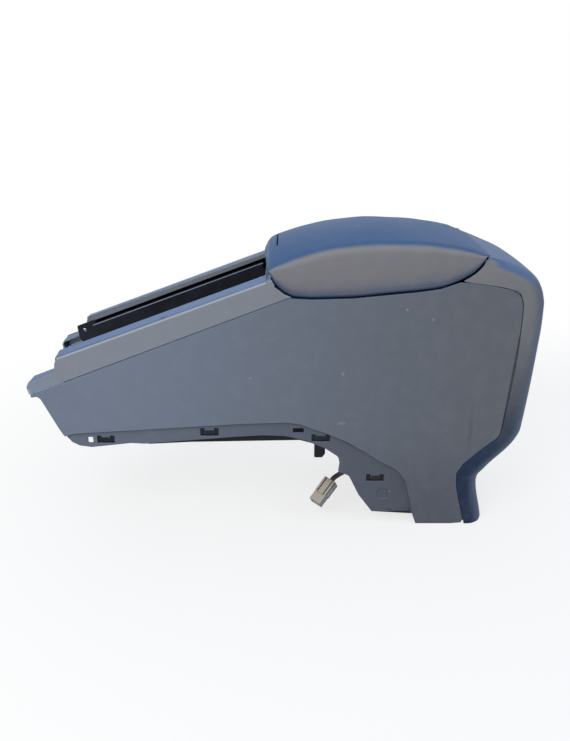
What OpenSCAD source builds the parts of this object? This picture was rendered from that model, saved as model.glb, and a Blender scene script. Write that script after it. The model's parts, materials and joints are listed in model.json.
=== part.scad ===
// Rear section of a car's centre console, with its hinged armrest lid.
// X runs from the dashboard (minus) to the rear seats (plus), Y across the car and Z up.
// The origin lies on the floor, midway between the two floor bolts.

/* [Console] */
// Width over both side panels
console_w = 210; // [190:1:240]
// Wall of the moulded panels and of the trim
wall = 2.6; // [2:0.1:3]
// How far the panel's lower flange lies behind its face
flange_recess = 4.6; // [3.6:0.1:6]
// Gap between neighbouring mouldings
seam_gap = 0.6; // [0.4:0.1:0.9]
// Width of the strip behind the trim's seam
backing_w = 15; // [14:1:18]
// Width of the strip behind the rear cover's seam
cover_backing_w = 4; // [3:0.5:5]
// Thickness of both strips
backing_t = 2; // [1.5:0.1:3]

/* [Rails] */
// Width of a rail's top face
rail_w = 28; // [22:1:32]
// How much higher the rail's inner edge is than its outer corner
rail_rise = 2.5; // [0:0.5:4]
// Depth of the rail's inner lip
rail_lip = 9; // [6:0.5:12]
// Radius of the rail's outer corner
rail_round = 5; // [3:0.5:7]

/* [Rear cover] */
// Corner radius of the cover in plan
cover_round = 33; // [20:1:40]
// How far the cover's back bows out in the middle
cover_bow = 2; // [0:0.5:5]

/* [Lid] */
// How far the lid's flanks lie inside the panels' faces
lid_inset = 0.5; // [0:0.1:2]
// Thickness of the lid's soft skin and its carrier
pad_wall = 4; // [3:0.5:6]
// How far the lid's front edge bows forward in the middle
lid_bow = 8; // [4:0.5:12]
// Thickness of the lid's inner panel
inner_t = 2.5; // [2:0.1:4]
// Radius of a rubber stop
stop_r = 5; // [4:0.5:7]

/* [Release lever] */
// Width of the lever in the lid's front lip
lever_w = 80; // [60:1:110]
// Thickness of the lever's paddle
lever_t = 2.4; // [1.8:0.1:3]
// Gap beside the lever
lever_gap = 1.2; // [0.8:0.1:2]
// Width of the slit behind the lever
lever_slit = 2.4; // [2:0.1:3]
// Radius of the lever's pin
lever_pin_r = 1.5; // [1.2:0.1:2]
// Width of the hook
hook_w = 12; // [8:1:16]
// Diameter of the striker's bar
striker_d = 4; // [3:0.5:5]

/* [Storage bin] */
// X of the bin's front wall
bin_front = -230; // [-234:1:-220]
// Length of the bin along X
bin_len = 204; // [180:1:206]
// Width of the bin
bin_w = 158; // [140:1:164]
// Height of the bin's floor above the car's floor
bin_floor = 168; // [160:1:220]
// Wall of the bin
bin_wall = 2.4; // [2:0.1:3]
// Thickness of the mat
mat_t = 2; // [1:0.5:4]
// Gap between the mat and the bin's walls
mat_gap = 1; // [0.5:0.5:3]

/* [Lid hinge] */
// Distance from the centre to a hinge arm
arm_y = 60; // [45:1:64]
// Thickness of an arm and of the bracket's ears
arm_t = 3; // [2:0.5:4]
// Radius of the hinge pin
pin_r = 2.5; // [2:0.1:3]
// Clearance of the pin in the arms
pin_clear = 0.06; // [0.03:0.01:0.09]
// Side gap between arm and ear
ear_gap = 0.5; // [0.3:0.1:1]

/* [Floor bracket] */
// Distance between the two floor bolts
bolt_spacing = 120; // [80:1:150]
// Radius of a floor bolt's hole
bolt_hole_r = 4.5; // [3:0.5:6]
// Thickness of the bracket's steel
bracket_t = 3; // [2:0.5:4]
// Length of the bracket along X
bracket_len = 56; // [40:1:60]
// Height of the bracket's ears
bracket_h = 42; // [30:1:60]

/* [Screws] */
// Radius of a screw's shank
screw_r = 2; // [1.5:0.1:2.4]
// Radius of a screw's head
head_r = 5.5; // [5:0.1:6]
// Height of a screw's head
head_h = 2.4; // [1.6:0.1:3]
// Radial gap between a shank and its hole
screw_clear = 0.1; // [0.05:0.05:0.3]
// Length of a screw's shank
screw_len = 7.5; // [7:0.1:7.8]
// Radius of a screw boss
boss_r = 3.8; // [3.5:0.1:4.2]
// Length of a screw boss
boss_len = 6.5; // [6:0.1:7]

/* [Accessory socket] */
// Outer radius of the socket's barrel
socket_r = 11.5; // [10:0.5:13]
// Length of the barrel behind the bin's wall
socket_len = 36; // [28:1:40]
// Height of the socket's axis
socket_z = 262; // [230:1:280]
// Radius of the socket's bezel
bezel_r = 16; // [14:0.5:19]

/* [Harness] */
// Diameter of the cable
cable_d = 6; // [5:0.5:7]
// Length of the connector
plug_len = 40; // [30:1:45]
// Width of the connector
plug_w = 18.5; // [14:0.5:20]
// Thickness of the connector
plug_t = 13; // [11:0.5:14]
// Wall of the connector
plug_wall = 1.6; // [1:0.1:2]

/* [Hidden] */
$fn = 48;

half_w = console_w / 2;
inner_y = half_w - wall;
flange_y = half_w - flange_recess;
over = 1;
arc_steps = 5;

// Side view outlines, as [x, z] or [x, z, corner radius].
seam_front = [-582, 201.9];
seam_rear = [-227, 338.6];
rail_front = [-542.7, 255.2];
rail_rear = [-256.9, 361.2];
rail_angle = atan2(rail_rear[1] - rail_front[1], rail_rear[0] - rail_front[0]);
nose = [[-583.6, 200.8, 2], [-586.3, 213, 4], [-583, 219, 3], [-546.7, 233, 2], [-544.6, 248]];
// Lower edge of the lid, from its front corner to its rear edge.
lid_low = [[-255.6, 371.2], [-248.7, 358.1], [-233.7, 344.4], [-222, 339.1], [-197.9, 337.5],
    [-144.3, 339.1], [-99.6, 343.6], [-60, 347.5], [-33.3, 351.4], [-7.6, 360.9], [11.1, 373],
    [19.3, 382], [23.6, 388.6], [25.3, 391.8], [28.4, 391.8]];
lid_crease = [[-255.6, 374], [-251.8, 377.2], [-233.7, 384.4], [-204.3, 394.8], [-175.3, 402.5],
    [-146, 405.9], [-116.8, 408.4], [-62.6, 408.6], [-23.3, 404.6], [3, 400.4], [23, 394.6], [28.4, 393]];
lid_crown = [[-255.6, 378.5], [-251, 384.5], [-246.4, 389], [-206.5, 407.5], [-149.2, 418], [-115.5, 420.5],
    [-64.8, 416], [-35.6, 411.5], [-5.2, 405.2], [28.4, 393.6]];
panel_top = [[-227, 336.2, 0.8], [-198, 335], [-144.3, 336.6], [-99.6, 341.1], [-60, 345],
    [-33, 348.9], [-7.6, 358, 2]];
cover_seam = [[2.4, 357.5], [36.5, 353.2], [59.5, 348.1], [68.6, 344.1], [73.4, 337.4], [76, 328.6],
    [76.6, 321.6], [76.5, 294.2], [64.5, 149.1], [63.3, 142.2], [61.2, 137.5], [38.2, 118], [16.6, 97],
    [7.9, 81.5], [9, 61.2], [12.7, 43.6], [22, 6.8]];
panel_bottom = [[20, 1.5], [4.6, 0], [-45.8, 0, 1], [-51.7, 16.6, 2], [-109.6, 17.3, 2], [-129.4, 44.5, 3],
    [-144.1, 75.3, 8], [-159.7, 81.5, 3], [-157.9, 94.8], [-159.7, 105, 8], [-178.8, 118.3],
    [-208.8, 131.2], [-235, 137.3], [-265.6, 138.5], [-297.6, 136.7], [-367.3, 131.3], [-431.7, 125.6],
    [-451.1, 126.6], [-476.6, 123.9], [-505.8, 120.4], [-522.6, 122.8], [-533, 128.4], [-542.3, 140.5],
    [-548.3, 151.2], [-569, 195, 5]];
panel_nose = [[-574, 198.6, 2], [-582.4, 196.8, 2]];
step_line = [[-531, 142], [-525.1, 143], [-449.8, 147.8], [-366.4, 153.8], [-297.2, 157.6], [-235, 159.7],
    [-214.3, 157.3], [-197.9, 150.3], [-179.2, 143.9], [-150, 130.7], [-121.5, 113.6], [-101.4, 99.6],
    [-82.1, 89.5], [-72.9, 82.2], [-64.5, 69.4], [-56.4, 39.5], [-52.8, 22], [-54, 8]];
square_hole = [-510.2, 127.3, 6.8, 8.7];
flat_hole = [-223.9, 142.6, 15, 6.8];
clip_slots = [[-497.3, 127, 24, 11], [-352.8, 137.8, 25.3, 11.8], [-197.8, 129, 25.8, 10.8],
    [-119.2, 66.6, 24.9, 11]];
dimple = [-95.2, 46.5];
dimple_r = 8.5;
dimple_depth = 1;

// Rear cover: [z, x] of its front edge and of its back, and how far its shoulders draw in.
cover_front = [[0, 24.2], [6.8, 22.6], [43.6, 13.3], [61.2, 9.6], [81.5, 8.5], [96.7, 17.2], [117.7, 38.7],
    [137.5, 61.8], [142.2, 63.9], [149.1, 65.1], [294.2, 77.1], [321.6, 77.2], [328.6, 76.6],
    [337.7, 74], [344.7, 69.2], [348.7, 60], [353.8, 37], [358.1, 3], [360, -3.6], [363, 1], [371, 12.4],
    [381, 21.7], [388, 26.3], [389.6, 27]];
cover_back = [[0, 49], [4, 51], [62, 39], [71, 40], [82, 47], [99, 64], [126, 89], [139, 96],
    [190, 101], [300, 109], [320, 109], [338, 106], [352, 100], [363, 90], [372, 75], [381, 55],
    [389.6, 32]];
cover_draw = [[0, 0], [350, 0], [366, 0.6], [378, 2], [385, 4], [389.6, 7]];
cover_levels = [0, 4, 24, 43.6, 61.2, 71, 81.5, 90, 97, 107, 117.7, 128, 137.5, 142.2, 149.1, 170, 200,
    235, 270, 294.2, 308, 321.6, 330, 338, 344.7, 348.7, 353.8, 356, 358.1, 360, 363, 367, 371, 376,
    381, 385, 388, 389.6];
cover_inner = [[0, 1], [338, 1], [363, 0.6], [389.6, 0.1]];
cover_top = 389.6;
cover_arc = 7;

// Inner carrier, its ledge and its belly.
ledge_y = half_w - 38;
ledge_drop = 12;
ledge_front = -532;
ledge_rear = -268;
carrier_t = 2.5;
belly_y = half_w - 20;
belly = [[-478, 124], [-427, 118], [-370, 121], [-299, 121.7], [-214, 124], [-196, 126]];
belly_window = [-440, -250, 55];
carrier_foot = [[-214, 124], [-196, 126], [-177.7, 126], [-177.7, 102, 6], [-182, 96.5, 3], [-193.3, 96.5, 2],
    [-193.3, 118, 2]];
rail_bracket = [[-531, 256], [-557, 246, 2], [-554.5, 226.6, 2], [-551, 222.5], [-546, 219], [-526, 246]];
bracket_eye = [-545.5, 240];

// Ring of the bin's mouth, at the lid's underside.
ring_path = [[-262, 351], [-247, 349], [-237, 341], [-225, 335.6], [-198, 333.8], [-144, 335.4],
    [-100, 339.8], [-60, 343.7], [-33, 347.6], [-23.2, 350.9]];
collar_h = 22;
mouth_x0 = bin_front - screw_clear * 3;
mouth_x1 = bin_front + bin_len + screw_clear * 3;
mouth_y = bin_w / 2 + screw_clear * 3;

lid_axis = [42, 372];
lever_axis = [-243.5, 379];
stop_y = half_w - 17;
stop_spots = [[-210, stop_y], [-50, stop_y]];
stop_top = 0.9;

// Cable from the socket to the connector, as [x, y, z].
cable_route = [[14, 0, 262], [21, 0, 262], [28, -2, 260], [34, -6, 255], [37, -12, 246], [37, -20, 233],
    [35, -28, 217], [30, -36, 200], [22, -43, 184], [11, -50, 169], [-3, -56, 157], [-18, -60, 150],
    [-34, -62, 147], [-52, -62, 147], [-64, -62, 144], [-76, -62, 139], [-90, -62, 131], [-102, -62, 121],
    [-112, -62, 110], [-120, -62, 98], [-126, -62, 88], [-131, -62.5, 79], [-136.5, -63, 71.5],
    [-143, -64, 66], [-149.5, -65, 62.5]];
sleeve_route = [[-149.5, -65, 62.5], [-154.7, -65.8, 59.7], [-159.2, -67.6, 57.6], [-163.2, -70, 55.7],
    [-166.6, -73, 52.3]];
plug_start = 0.3;
sleeve_d = 7.4;
plug_turn = [52.8, -11.3, 140.1];
clip_at = [-43, -62, 147];

// Point of an arc that rounds the corner b between a and c.
function unit(v) = v / norm(v);
function corner(a, b, c, r) =
    let (u = unit([a[0] - b[0], a[1] - b[1]]), v = unit([c[0] - b[0], c[1] - b[1]]))
    let (half = acos(max(-1, min(1, u * v))) / 2)
    let (d = r / tan(half), o = [b[0], b[1]] + unit(u + v) * (r / sin(half)))
    let (p = [b[0], b[1]] + u * d - o, q = [b[0], b[1]] + v * d - o)
    [for (i = [0:arc_steps]) o + r * unit(p * (1 - i / arc_steps) + q * (i / arc_steps))];
// Closed outline with its corners rounded where a point gives a radius.
function rounded(pts) =
    let (n = len(pts))
    [for (i = [0:n - 1]) each
        (len(pts[i]) < 3 || pts[i][2] == 0) ? [[pts[i][0], pts[i][1]]]
        : corner(pts[(i + n - 1) % n], pts[i], pts[(i + 1) % n], pts[i][2])];
// Open path moved sideways by d, to its left as it is walked.
function side(pts, i) =
    let (a = pts[max(0, i - 1)], b = pts[min(len(pts) - 1, i + 1)])
    let (u = unit([b[0] - a[0], b[1] - a[1]])) [-u[1], u[0]];
function moved(pts, d) = [for (i = [0:len(pts) - 1]) [pts[i][0], pts[i][1]] + side(pts, i) * d];
function reversed(v) = [for (i = [len(v) - 1:-1:0]) v[i]];
function band(pts, d0, d1) = concat(moved(pts, d0), reversed(moved(pts, d1)));
function on_rail(x) = rail_front[1] + (x - rail_front[0]) * tan(rail_angle);
function on_seam(x) =
    seam_front[1] + (x - seam_front[0]) * (seam_rear[1] - seam_front[1]) / (seam_rear[0] - seam_front[0]);

// Copies its child on both sides of the console.
module both_sides() {
    children();
    mirror([0, 1, 0])
        children();
}

// Cylinder along Y from y0 to y1 round the point [x, z].
module rod_y(at, r, y0, y1) {
    translate([at[0], y1, at[1]])
        rotate([90, 0, 0])
            cylinder(r = r, h = y1 - y0);
}

// Screw along Z with its head's seat at the origin, its shank pointing down.
module screw(length) {
    cylinder(r = head_r, h = head_h);
    translate([0, 0, -length])
        cylinder(r = screw_r, h = length + over);
}

// Extrudes its 2D child, drawn in X and Z, between two values of Y.
module slab(y0, y1) {
    translate([0, max(y0, y1), 0])
        rotate([90, 0, 0])
            linear_extrude(abs(y1 - y0))
                children();
}

// Closed surface through rings of equal length. Each ring is closed with a ladder of
// faces between its first and its second half.
module loft(rings) {
    n = len(rings[0]);
    m = len(rings);
    half = n / 2 - 1;
    points = [for (r = rings) each r];
    walls = [for (j = [0:m - 2]) for (i = [0:n - 1])
        let (a = j * n + i, b = j * n + (i + 1) % n) each [[a, b, b + n], [a, b + n, a + n]]];
    first = [for (i = [0:half - 1]) each [[i, n - 1 - i, i + 1], [i + 1, n - 1 - i, n - 2 - i]]];
    last = [for (f = first) [f[0] + (m - 1) * n, f[2] + (m - 1) * n, f[1] + (m - 1) * n]];
    polyhedron(points = points, faces = concat(walls, first, last));
}

// Screw that points along -X, +X, -Y or +Y with its head's seat at a point.
module screw_x(at, length, dir) {
    translate(at)
        rotate([0, dir > 0 ? -90 : 90, 0])
            screw(length);
}
module screw_y(at, length, dir) {
    translate(at)
        rotate([dir > 0 ? 90 : -90, 0, 0])
            screw(length);
}

function panel_outline() = rounded(concat(
    [[seam_front[0], seam_front[1] - seam_gap], [seam_rear[0], seam_rear[1] - seam_gap]],
    panel_top, cover_seam, panel_bottom, panel_nose));
step_path = concat([[-560, 132]], step_line);
step_region = concat(step_path, [[-54, -20], [-560, -20]]);
seam_path = [[-536, on_seam(-536)], [-262, on_seam(-262)]];
backing_end = [20.1, 14.3];
backing_path = concat([for (i = [2:len(cover_seam) - 2]) cover_seam[i]], [backing_end]);
screw_spots = [-520, -400, -285];
screw_rise = 7.5;
collar_r = boss_r + screw_clear * 3 + 2;
foot_screws = [[-15, 30], [10, 30]];
panel_strip = 6;

// Moulded side panel with its recessed flange, drawn for the left side.
module side_panel() {
    difference() {
        union() {
            slab(-half_w, -inner_y)
                difference() {
                    polygon(panel_outline());
                    polygon(step_region);
                }
            slab(-half_w, wall - flange_y)
                intersection() {
                    polygon(panel_outline());
                    polygon(band(step_path, 0, wall));
                }
            slab(-flange_y, wall - flange_y)
                intersection() {
                    polygon(panel_outline());
                    polygon(step_region);
                }
            slab(-inner_y, backing_t - inner_y)
                polygon(band(seam_path, -panel_strip, backing_w));
            slab(-inner_y, backing_t - inner_y)
                polygon(band(backing_path, -panel_strip, cover_backing_w));
            for (x = screw_spots)
                rod_y([x, on_seam(x) + screw_rise], collar_r, -inner_y, boss_len - inner_y);
            for (at = foot_screws)
                rod_y(at, boss_r + 1, -inner_y, boss_len - inner_y);
        }
        for (x = screw_spots)
            rod_y([x, on_seam(x) + screw_rise], boss_r + screw_clear * 3, -inner_y - over, over + boss_len - inner_y);
        for (at = foot_screws)
            rod_y(at, screw_r + screw_clear, -inner_y - 1.2, over + boss_len - inner_y);
        for (h = [square_hole, flat_hole])
            translate([h[0], -half_w - over, h[1]])
                cube([h[2], flange_recess + wall + 2 * over, h[3]]);
        for (s = clip_slots)
            clip_slot(s);
        rod_y(dimple, dimple_r, -half_w - over, dimple_depth - flange_y);
    }
}

// U-shaped slot: two square windows joined along the bottom.
slot_window = 6;
slot_channel = 4;
module clip_slot(s) {
    for (x = [s[0], s[0] + s[2] - slot_window])
        translate([x, -half_w - over, s[1]])
            cube([slot_window, flange_recess + wall + 2 * over, s[3]]);
    translate([s[0], -half_w - over, s[1]])
        cube([s[2], flange_recess + wall + 2 * over, slot_channel]);
}

module side_panel_left() {
    color([0.37, 0.4, 0.45])
        side_panel();
}

module side_panel_right() {
    color([0.37, 0.4, 0.45])
        mirror([0, 1, 0])
            side_panel();
}

// Side plate of the trim, from its nose to the lid's front.
trim_end = [[-259.2, 354], [-251.2, 354], [-236, 342.2], [-228.4, 339.2], seam_rear];
trim_outline = rounded(concat([seam_front], nose,
    [[rail_front[0] + 1, on_rail(rail_front[0] + 1) - rail_round - 1]], trim_end));

// Cross-section of the left rail: x is measured inward from the outer face, y from the rail's line.
rail_fall = 14;
rail_section = rounded([[0, -rail_fall], [0, 0, rail_round], [rail_w, rail_rise, 3], [rail_w, rail_rise - rail_lip],
    [rail_w - wall, rail_rise - rail_lip], [rail_w - wall, rail_rise - wall, 1],
    [wall, -wall, rail_round - wall], [wall, -rail_fall]]);
rail_len = norm([rail_rear[0] - rail_front[0], rail_rear[1] - rail_front[1]]);

// Left half of the trim: side plate, rail, step and nose shelf.
module trim_side() {
    slab(-half_w, -inner_y)
        polygon(trim_outline);
    translate([rail_front[0], -half_w, rail_front[1]])
        rotate([0, -rail_angle, 0])
            rotate([90, 0, 90])
                linear_extrude(rail_len - 2)
                    polygon(rail_section);
    slab(-inner_y - over / 2, rail_w - half_w)
        polygon([[-545.9, 233], [-543.6, 252.5], [-542, 256], [-539, 256], [-543.2, 231]]);
    slab(-inner_y - over / 2, rail_w - half_w)
        polygon([[-583, 219], [-545, 233.8], [-545, 231], [-583.4, 216]]);
    slab(-inner_y - over / 2, rail_w - half_w)
        polygon([[-583.6, 201.5], [-585.9, 213], [-583, 218.6], [-582, 216], [-583.2, 213], [-581.2, 202.4]]);
    for (x = screw_spots)
        rod_y([x, on_seam(x) + screw_rise], boss_r, -inner_y, boss_len - inner_y);
}

slot_front = -258.5;
slot_rear = -236.8;
slot_half = hook_w / 2 + 2;
boss_x = [bin_front + 40, bin_front + bin_len - 40];
boss_z = 322;
hinge_screw_y = 30;
hinge_screw_z = round(ring_z(mouth_x1 + wall) - 14);
striker_screw_y = 20;
striker_z = 334;
striker_screw_z = striker_z - 6;

function ring_z(x) = lookup(x, ring_path);

module upper_trim() {
    color([0.48, 0.49, 0.52])
        difference() {
            union() {
                both_sides()
                    trim_side();
                slab(-inner_y, inner_y)
                    polygon(band(ring_path, 0, -wall));
                slab(-mouth_y - wall, mouth_y + wall)
                    intersection() {
                        polygon(band(ring_path, -wall / 2, -collar_h));
                        translate([mouth_x0 - wall, 0])
                            square([mouth_x1 - mouth_x0 + 2 * wall, 500]);
                    }
                for (x = boss_x)
                    rod_y([x, boss_z], boss_r, mouth_y + wall / 2, mouth_y + boss_len);
                for (x = boss_x)
                    rod_y([x, boss_z], boss_r, -mouth_y - boss_len, -mouth_y - wall / 2);
            }
            slab(-mouth_y, mouth_y)
                translate([mouth_x0, 0])
                    square([mouth_x1 - mouth_x0, 500]);
            translate([slot_front, -slot_half, 300])
                cube([slot_rear - slot_front, 2 * slot_half, 80]);
            for (x = boss_x)
                rod_y([x, boss_z], screw_r + screw_clear, -mouth_y - boss_len - over, mouth_y + boss_len + over);
            both_sides()
                for (x = screw_spots)
                    rod_y([x, on_seam(x) + screw_rise], screw_r + screw_clear, -inner_y - 1.4, over + boss_len - inner_y);
            for (y = [-hinge_screw_y, hinge_screw_y])
                translate([mouth_x1 - over, y, hinge_screw_z])
                    rotate([0, 90, 0])
                        cylinder(r = screw_r + screw_clear, h = wall + 2 * over);
            for (y = [-striker_screw_y, striker_screw_y])
                translate([mouth_x0 - wall - over, y, striker_screw_z])
                    rotate([0, 90, 0])
                        cylinder(r = screw_r + screw_clear, h = wall + 2 * over);
        }
}

// Ring of the rear cover at level k: outer line from left to right, then the inner line back.
function cover_line(f, b, hw, r, z, bow) =
    concat([[f, -hw, z]],
        [for (i = [0:cover_arc]) let (t = 90 * i / cover_arc) [b - r + r * sin(t), -hw + r - r * cos(t), z]],
        [for (t = [-0.5, 0, 0.5]) [b + bow * (1 - 4 * t * t * 0.7), t * 1.4 * (hw - r), z]],
        [for (i = [cover_arc:-1:0]) let (t = 90 * i / cover_arc) [b - r + r * sin(t), hw - r + r * cos(t), z]],
        [[f, hw, z]]);
function cover_ring(z) =
    let (f = lookup(z, cover_front) + seam_gap / 2, b = max(lookup(z, cover_back), f + 3))
    let (hw = half_w - lookup(z, cover_draw), r = min(cover_round, 0.88 * (b - f)))
    let (thin = wall * lookup(z, cover_inner), low = min(z, 338), lift = max(0, z - 338))
    let (zi = low + lift * (cover_top - 338 - wall - 0.3) / (cover_top - 338))
    concat(cover_line(f, b, hw, r, z, cover_bow),
        reversed(cover_line(f, b - max(thin, 0.3), hw - wall, max(r - wall, 0.4), zi, cover_bow)));

module rear_cover() {
    color([0.36, 0.39, 0.45])
        loft([for (z = cover_levels) cover_ring(z)]);
}

// Left half of the carrier: ledge, wall, belly flange and foot.
wall_outline = [[ledge_front, on_rail(ledge_front) - ledge_drop], [-551, 222.5], [-548, 212], [-500, 150],
    [-478, 124], [-427, 118], [-370, 121], [-299, 121.7], [-240, 123], [-240, 330], [ledge_rear, 338],
    [ledge_rear, on_rail(ledge_rear) - ledge_drop]];
ledge_path = [[ledge_front, on_rail(ledge_front) - ledge_drop], [ledge_rear, on_rail(ledge_rear) - ledge_drop]];
floor_rise = 12;
carrier_back = [150, 305];

module carrier_side() {
    slab(-ledge_y - carrier_t, -ledge_y)
        polygon(wall_outline);
    slab(-inner_y, -ledge_y)
        polygon(band(ledge_path, 0, -carrier_t));
    slab(-belly_y, carrier_t - belly_y)
        polygon(concat([for (p = belly) [p[0], p[1] + 22]], reversed(belly)));
    slab(-belly_y, carrier_t - belly_y)
        polygon(rounded(carrier_foot));
}

module tray_carrier() {
    color([0.08, 0.1, 0.16])
        difference() {
            union() {
                both_sides()
                    carrier_side();
                slab(-belly_y, belly_y)
                    polygon(band([for (p = belly) [p[0], p[1] + floor_rise]], 0, carrier_t));
                translate([-240 - carrier_t, -ledge_y, carrier_back[0] - 20])
                    cube([carrier_t, 2 * ledge_y, carrier_back[1] - carrier_back[0] + 20]);
                slab(ledge_y, ledge_y + carrier_t)
                    polygon(rounded(rail_bracket));
            }
            translate([belly_window[0], -belly_window[2], 100])
                cube([belly_window[1] - belly_window[0], 2 * belly_window[2], 60]);
            rod_y(bracket_eye, 2.6, ledge_y - over, ledge_y + carrier_t + over);
        }
}

bin_back = bin_front + bin_len;
bin_half = bin_w / 2;

module storage_bin() {
    color([0.1, 0.11, 0.14])
        difference() {
            slab(-bin_half, bin_half)
                difference() {
                    polygon(concat(moved(ring_path, -0.8), [[-20, bin_floor - bin_wall], [-262, bin_floor - bin_wall]]));
                    translate([bin_back, 0])
                        square([100, 500]);
                    translate([bin_front - 100, 0])
                        square([100, 500]);
                }
            translate([bin_front + bin_wall, bin_wall - bin_half, bin_floor])
                cube([bin_len - 2 * bin_wall, bin_w - 2 * bin_wall, 300]);
            for (x = boss_x)
                rod_y([x, boss_z], screw_r + screw_clear, -bin_half - over, bin_half + over);
            for (y = [-hinge_screw_y, hinge_screw_y])
                translate([bin_back - bin_wall - over, y, hinge_screw_z])
                    rotate([0, 90, 0])
                        cylinder(r = screw_r + screw_clear, h = bin_wall + 2 * over);
            for (y = [-striker_screw_y, striker_screw_y])
                translate([bin_front - over, y, striker_screw_z])
                    rotate([0, 90, 0])
                        cylinder(r = screw_r + screw_clear, h = bin_wall + 2 * over);
            translate([bin_back - bin_wall - over, 0, socket_z])
                rotate([0, 90, 0])
                    cylinder(r = socket_r + screw_clear, h = bin_wall + 2 * over);
        }
}

module bin_mat() {
    color([0.06, 0.06, 0.07])
        translate([bin_front + bin_wall + mat_gap, bin_wall + mat_gap - bin_half, bin_floor])
            cube([bin_len - 2 * (bin_wall + mat_gap), bin_w - 2 * (bin_wall + mat_gap), mat_t]);
}

// Spring clips that sit on the tongues of the U-shaped slots, each with a wide plate behind the slot.
clip_sheet = 1;
clip_margin = 1.5;
clip_grip = 4.5;
module panel_clips() {
    color([0.1, 0.1, 0.12])
        both_sides()
            for (s = clip_slots)
                translate([s[0], -flange_y, s[1]])
                    union() {
                        translate([slot_window + 0.5, 0, slot_channel])
                            difference() {
                                translate([0, -clip_sheet, -clip_sheet])
                                    cube([s[2] - 2 * slot_window - 1, wall + 2 * clip_sheet, clip_sheet + clip_grip]);
                                translate([-over, 0, 0])
                                    cube([s[2], wall, 2 * clip_grip]);
                            }
                        translate([-clip_margin, wall, -clip_margin])
                            cube([s[2] + 2 * clip_margin, clip_sheet, s[3] + 2 * clip_margin]);
                    }
}

module trim_screws() {
    color("silver")
        both_sides()
            for (x = screw_spots)
                screw_y([x, boss_len - inner_y, on_seam(x) + screw_rise], screw_len, -1);
}

module bin_screws() {
    color("silver")
        both_sides()
            for (x = boss_x)
                screw_y([x, bin_wall - bin_half, boss_z], screw_len, -1);
}

module floor_bracket() {
    ear_y = inner_y - boss_len;
    color([0.35, 0.37, 0.4])
        difference() {
            union() {
                translate([-bracket_len / 2, -ear_y, 0])
                    cube([bracket_len, 2 * ear_y, bracket_t]);
                for (y = [-ear_y, ear_y - bracket_t])
                    translate([-bracket_len / 2, y, 0])
                        cube([bracket_len, bracket_t, bracket_h]);
            }
            for (y = [-bolt_spacing / 2, bolt_spacing / 2])
                translate([0, y, -over])
                    cylinder(r = bolt_hole_r, h = bracket_t + 2 * over);
            for (at = foot_screws)
                rod_y(at, screw_r + screw_clear, -ear_y - over, ear_y + over);
        }
}

module floor_bracket_screws() {
    color("silver")
        both_sides()
            for (at = foot_screws)
                screw_y([at[0], boss_len + bracket_t - inner_y, at[1]], screw_len, -1);
}

// Steel bracket behind the bin that holds the lid's hinge pin.
bracket_x = mouth_x1 + wall;
ring_end = ring_path[len(ring_path) - 1][0];
ear_in = arm_y + arm_t / 2 + ear_gap;
ear_clear = 0.02;
module hinge_bracket() {
    color([0.3, 0.31, 0.33])
        difference() {
            union() {
                translate([bracket_x, -ear_in - arm_t, hinge_screw_z - 10])
                    cube([arm_t, 2 * (ear_in + arm_t), 19]);
                both_sides() {
                    slab(-ear_in - arm_t, -ear_in)
                        polygon([[bracket_x, hinge_screw_z - 10], [bracket_x, hinge_screw_z + 9],
                            [ring_end + wall, hinge_screw_z + 9], [lid_axis[0] - 5, lid_axis[1] + 4], [lid_axis[0] + 6, lid_axis[1]],
                            [lid_axis[0] + 2, lid_axis[1] - 8], [bracket_x + 30, hinge_screw_z - 10]]);
                    rod_y(lid_axis, pin_r + 4, -ear_in - arm_t, -ear_in);
                }
            }
            rod_y(lid_axis, pin_r + ear_clear, -ear_in - arm_t - over, ear_in + arm_t + over);
            for (y = [-hinge_screw_y, hinge_screw_y])
                translate([bracket_x - over, y, hinge_screw_z])
                    rotate([0, 90, 0])
                        cylinder(r = screw_r + screw_clear, h = arm_t + 2 * over);
        }
}

module hinge_bracket_screws() {
    color("silver")
        for (y = [-hinge_screw_y, hinge_screw_y])
            screw_x([bracket_x + arm_t, y, hinge_screw_z], screw_len, -1);
}

module hinge_pin() {
    end = ear_in + arm_t;
    color("silver") {
        rod_y(lid_axis, pin_r, -end - 1, end + 1);
        rod_y(lid_axis, pin_r + 1.5, -end - 2, -end);
        rod_y(lid_axis, pin_r + 1.5, end, end + 2);
    }
}

// Striker: a plate on the front of the bin's mouth with a bar between two ears.
striker_t = 3;
bar_x = -239.2;
ear_half = hook_w / 2 + 3;
module striker() {
    plate_x = mouth_x0 - wall - striker_t;
    color("silver")
        difference() {
            union() {
                translate([plate_x, -striker_screw_y - 7, striker_z - 13])
                    cube([striker_t, 2 * striker_screw_y + 14, 15]);
                for (y = [-ear_half - 2, ear_half])
                    translate([bar_x - 3, y, striker_z - 4])
                        cube([plate_x - bar_x + 3 + striker_t, 2, 6.5]);
                rod_y([bar_x, striker_z], striker_d / 2, -ear_half - 1, ear_half + 1);
            }
            for (y = [-striker_screw_y, striker_screw_y])
                translate([plate_x - over, y, striker_screw_z])
                    rotate([0, 90, 0])
                        cylinder(r = screw_r + screw_clear, h = striker_t + 2 * over);
        }
}

module striker_screws() {
    color("silver")
        for (y = [-striker_screw_y, striker_screw_y])
            screw_x([mouth_x0 - wall - striker_t, y, striker_screw_z], screw_len, 1);
}

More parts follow.
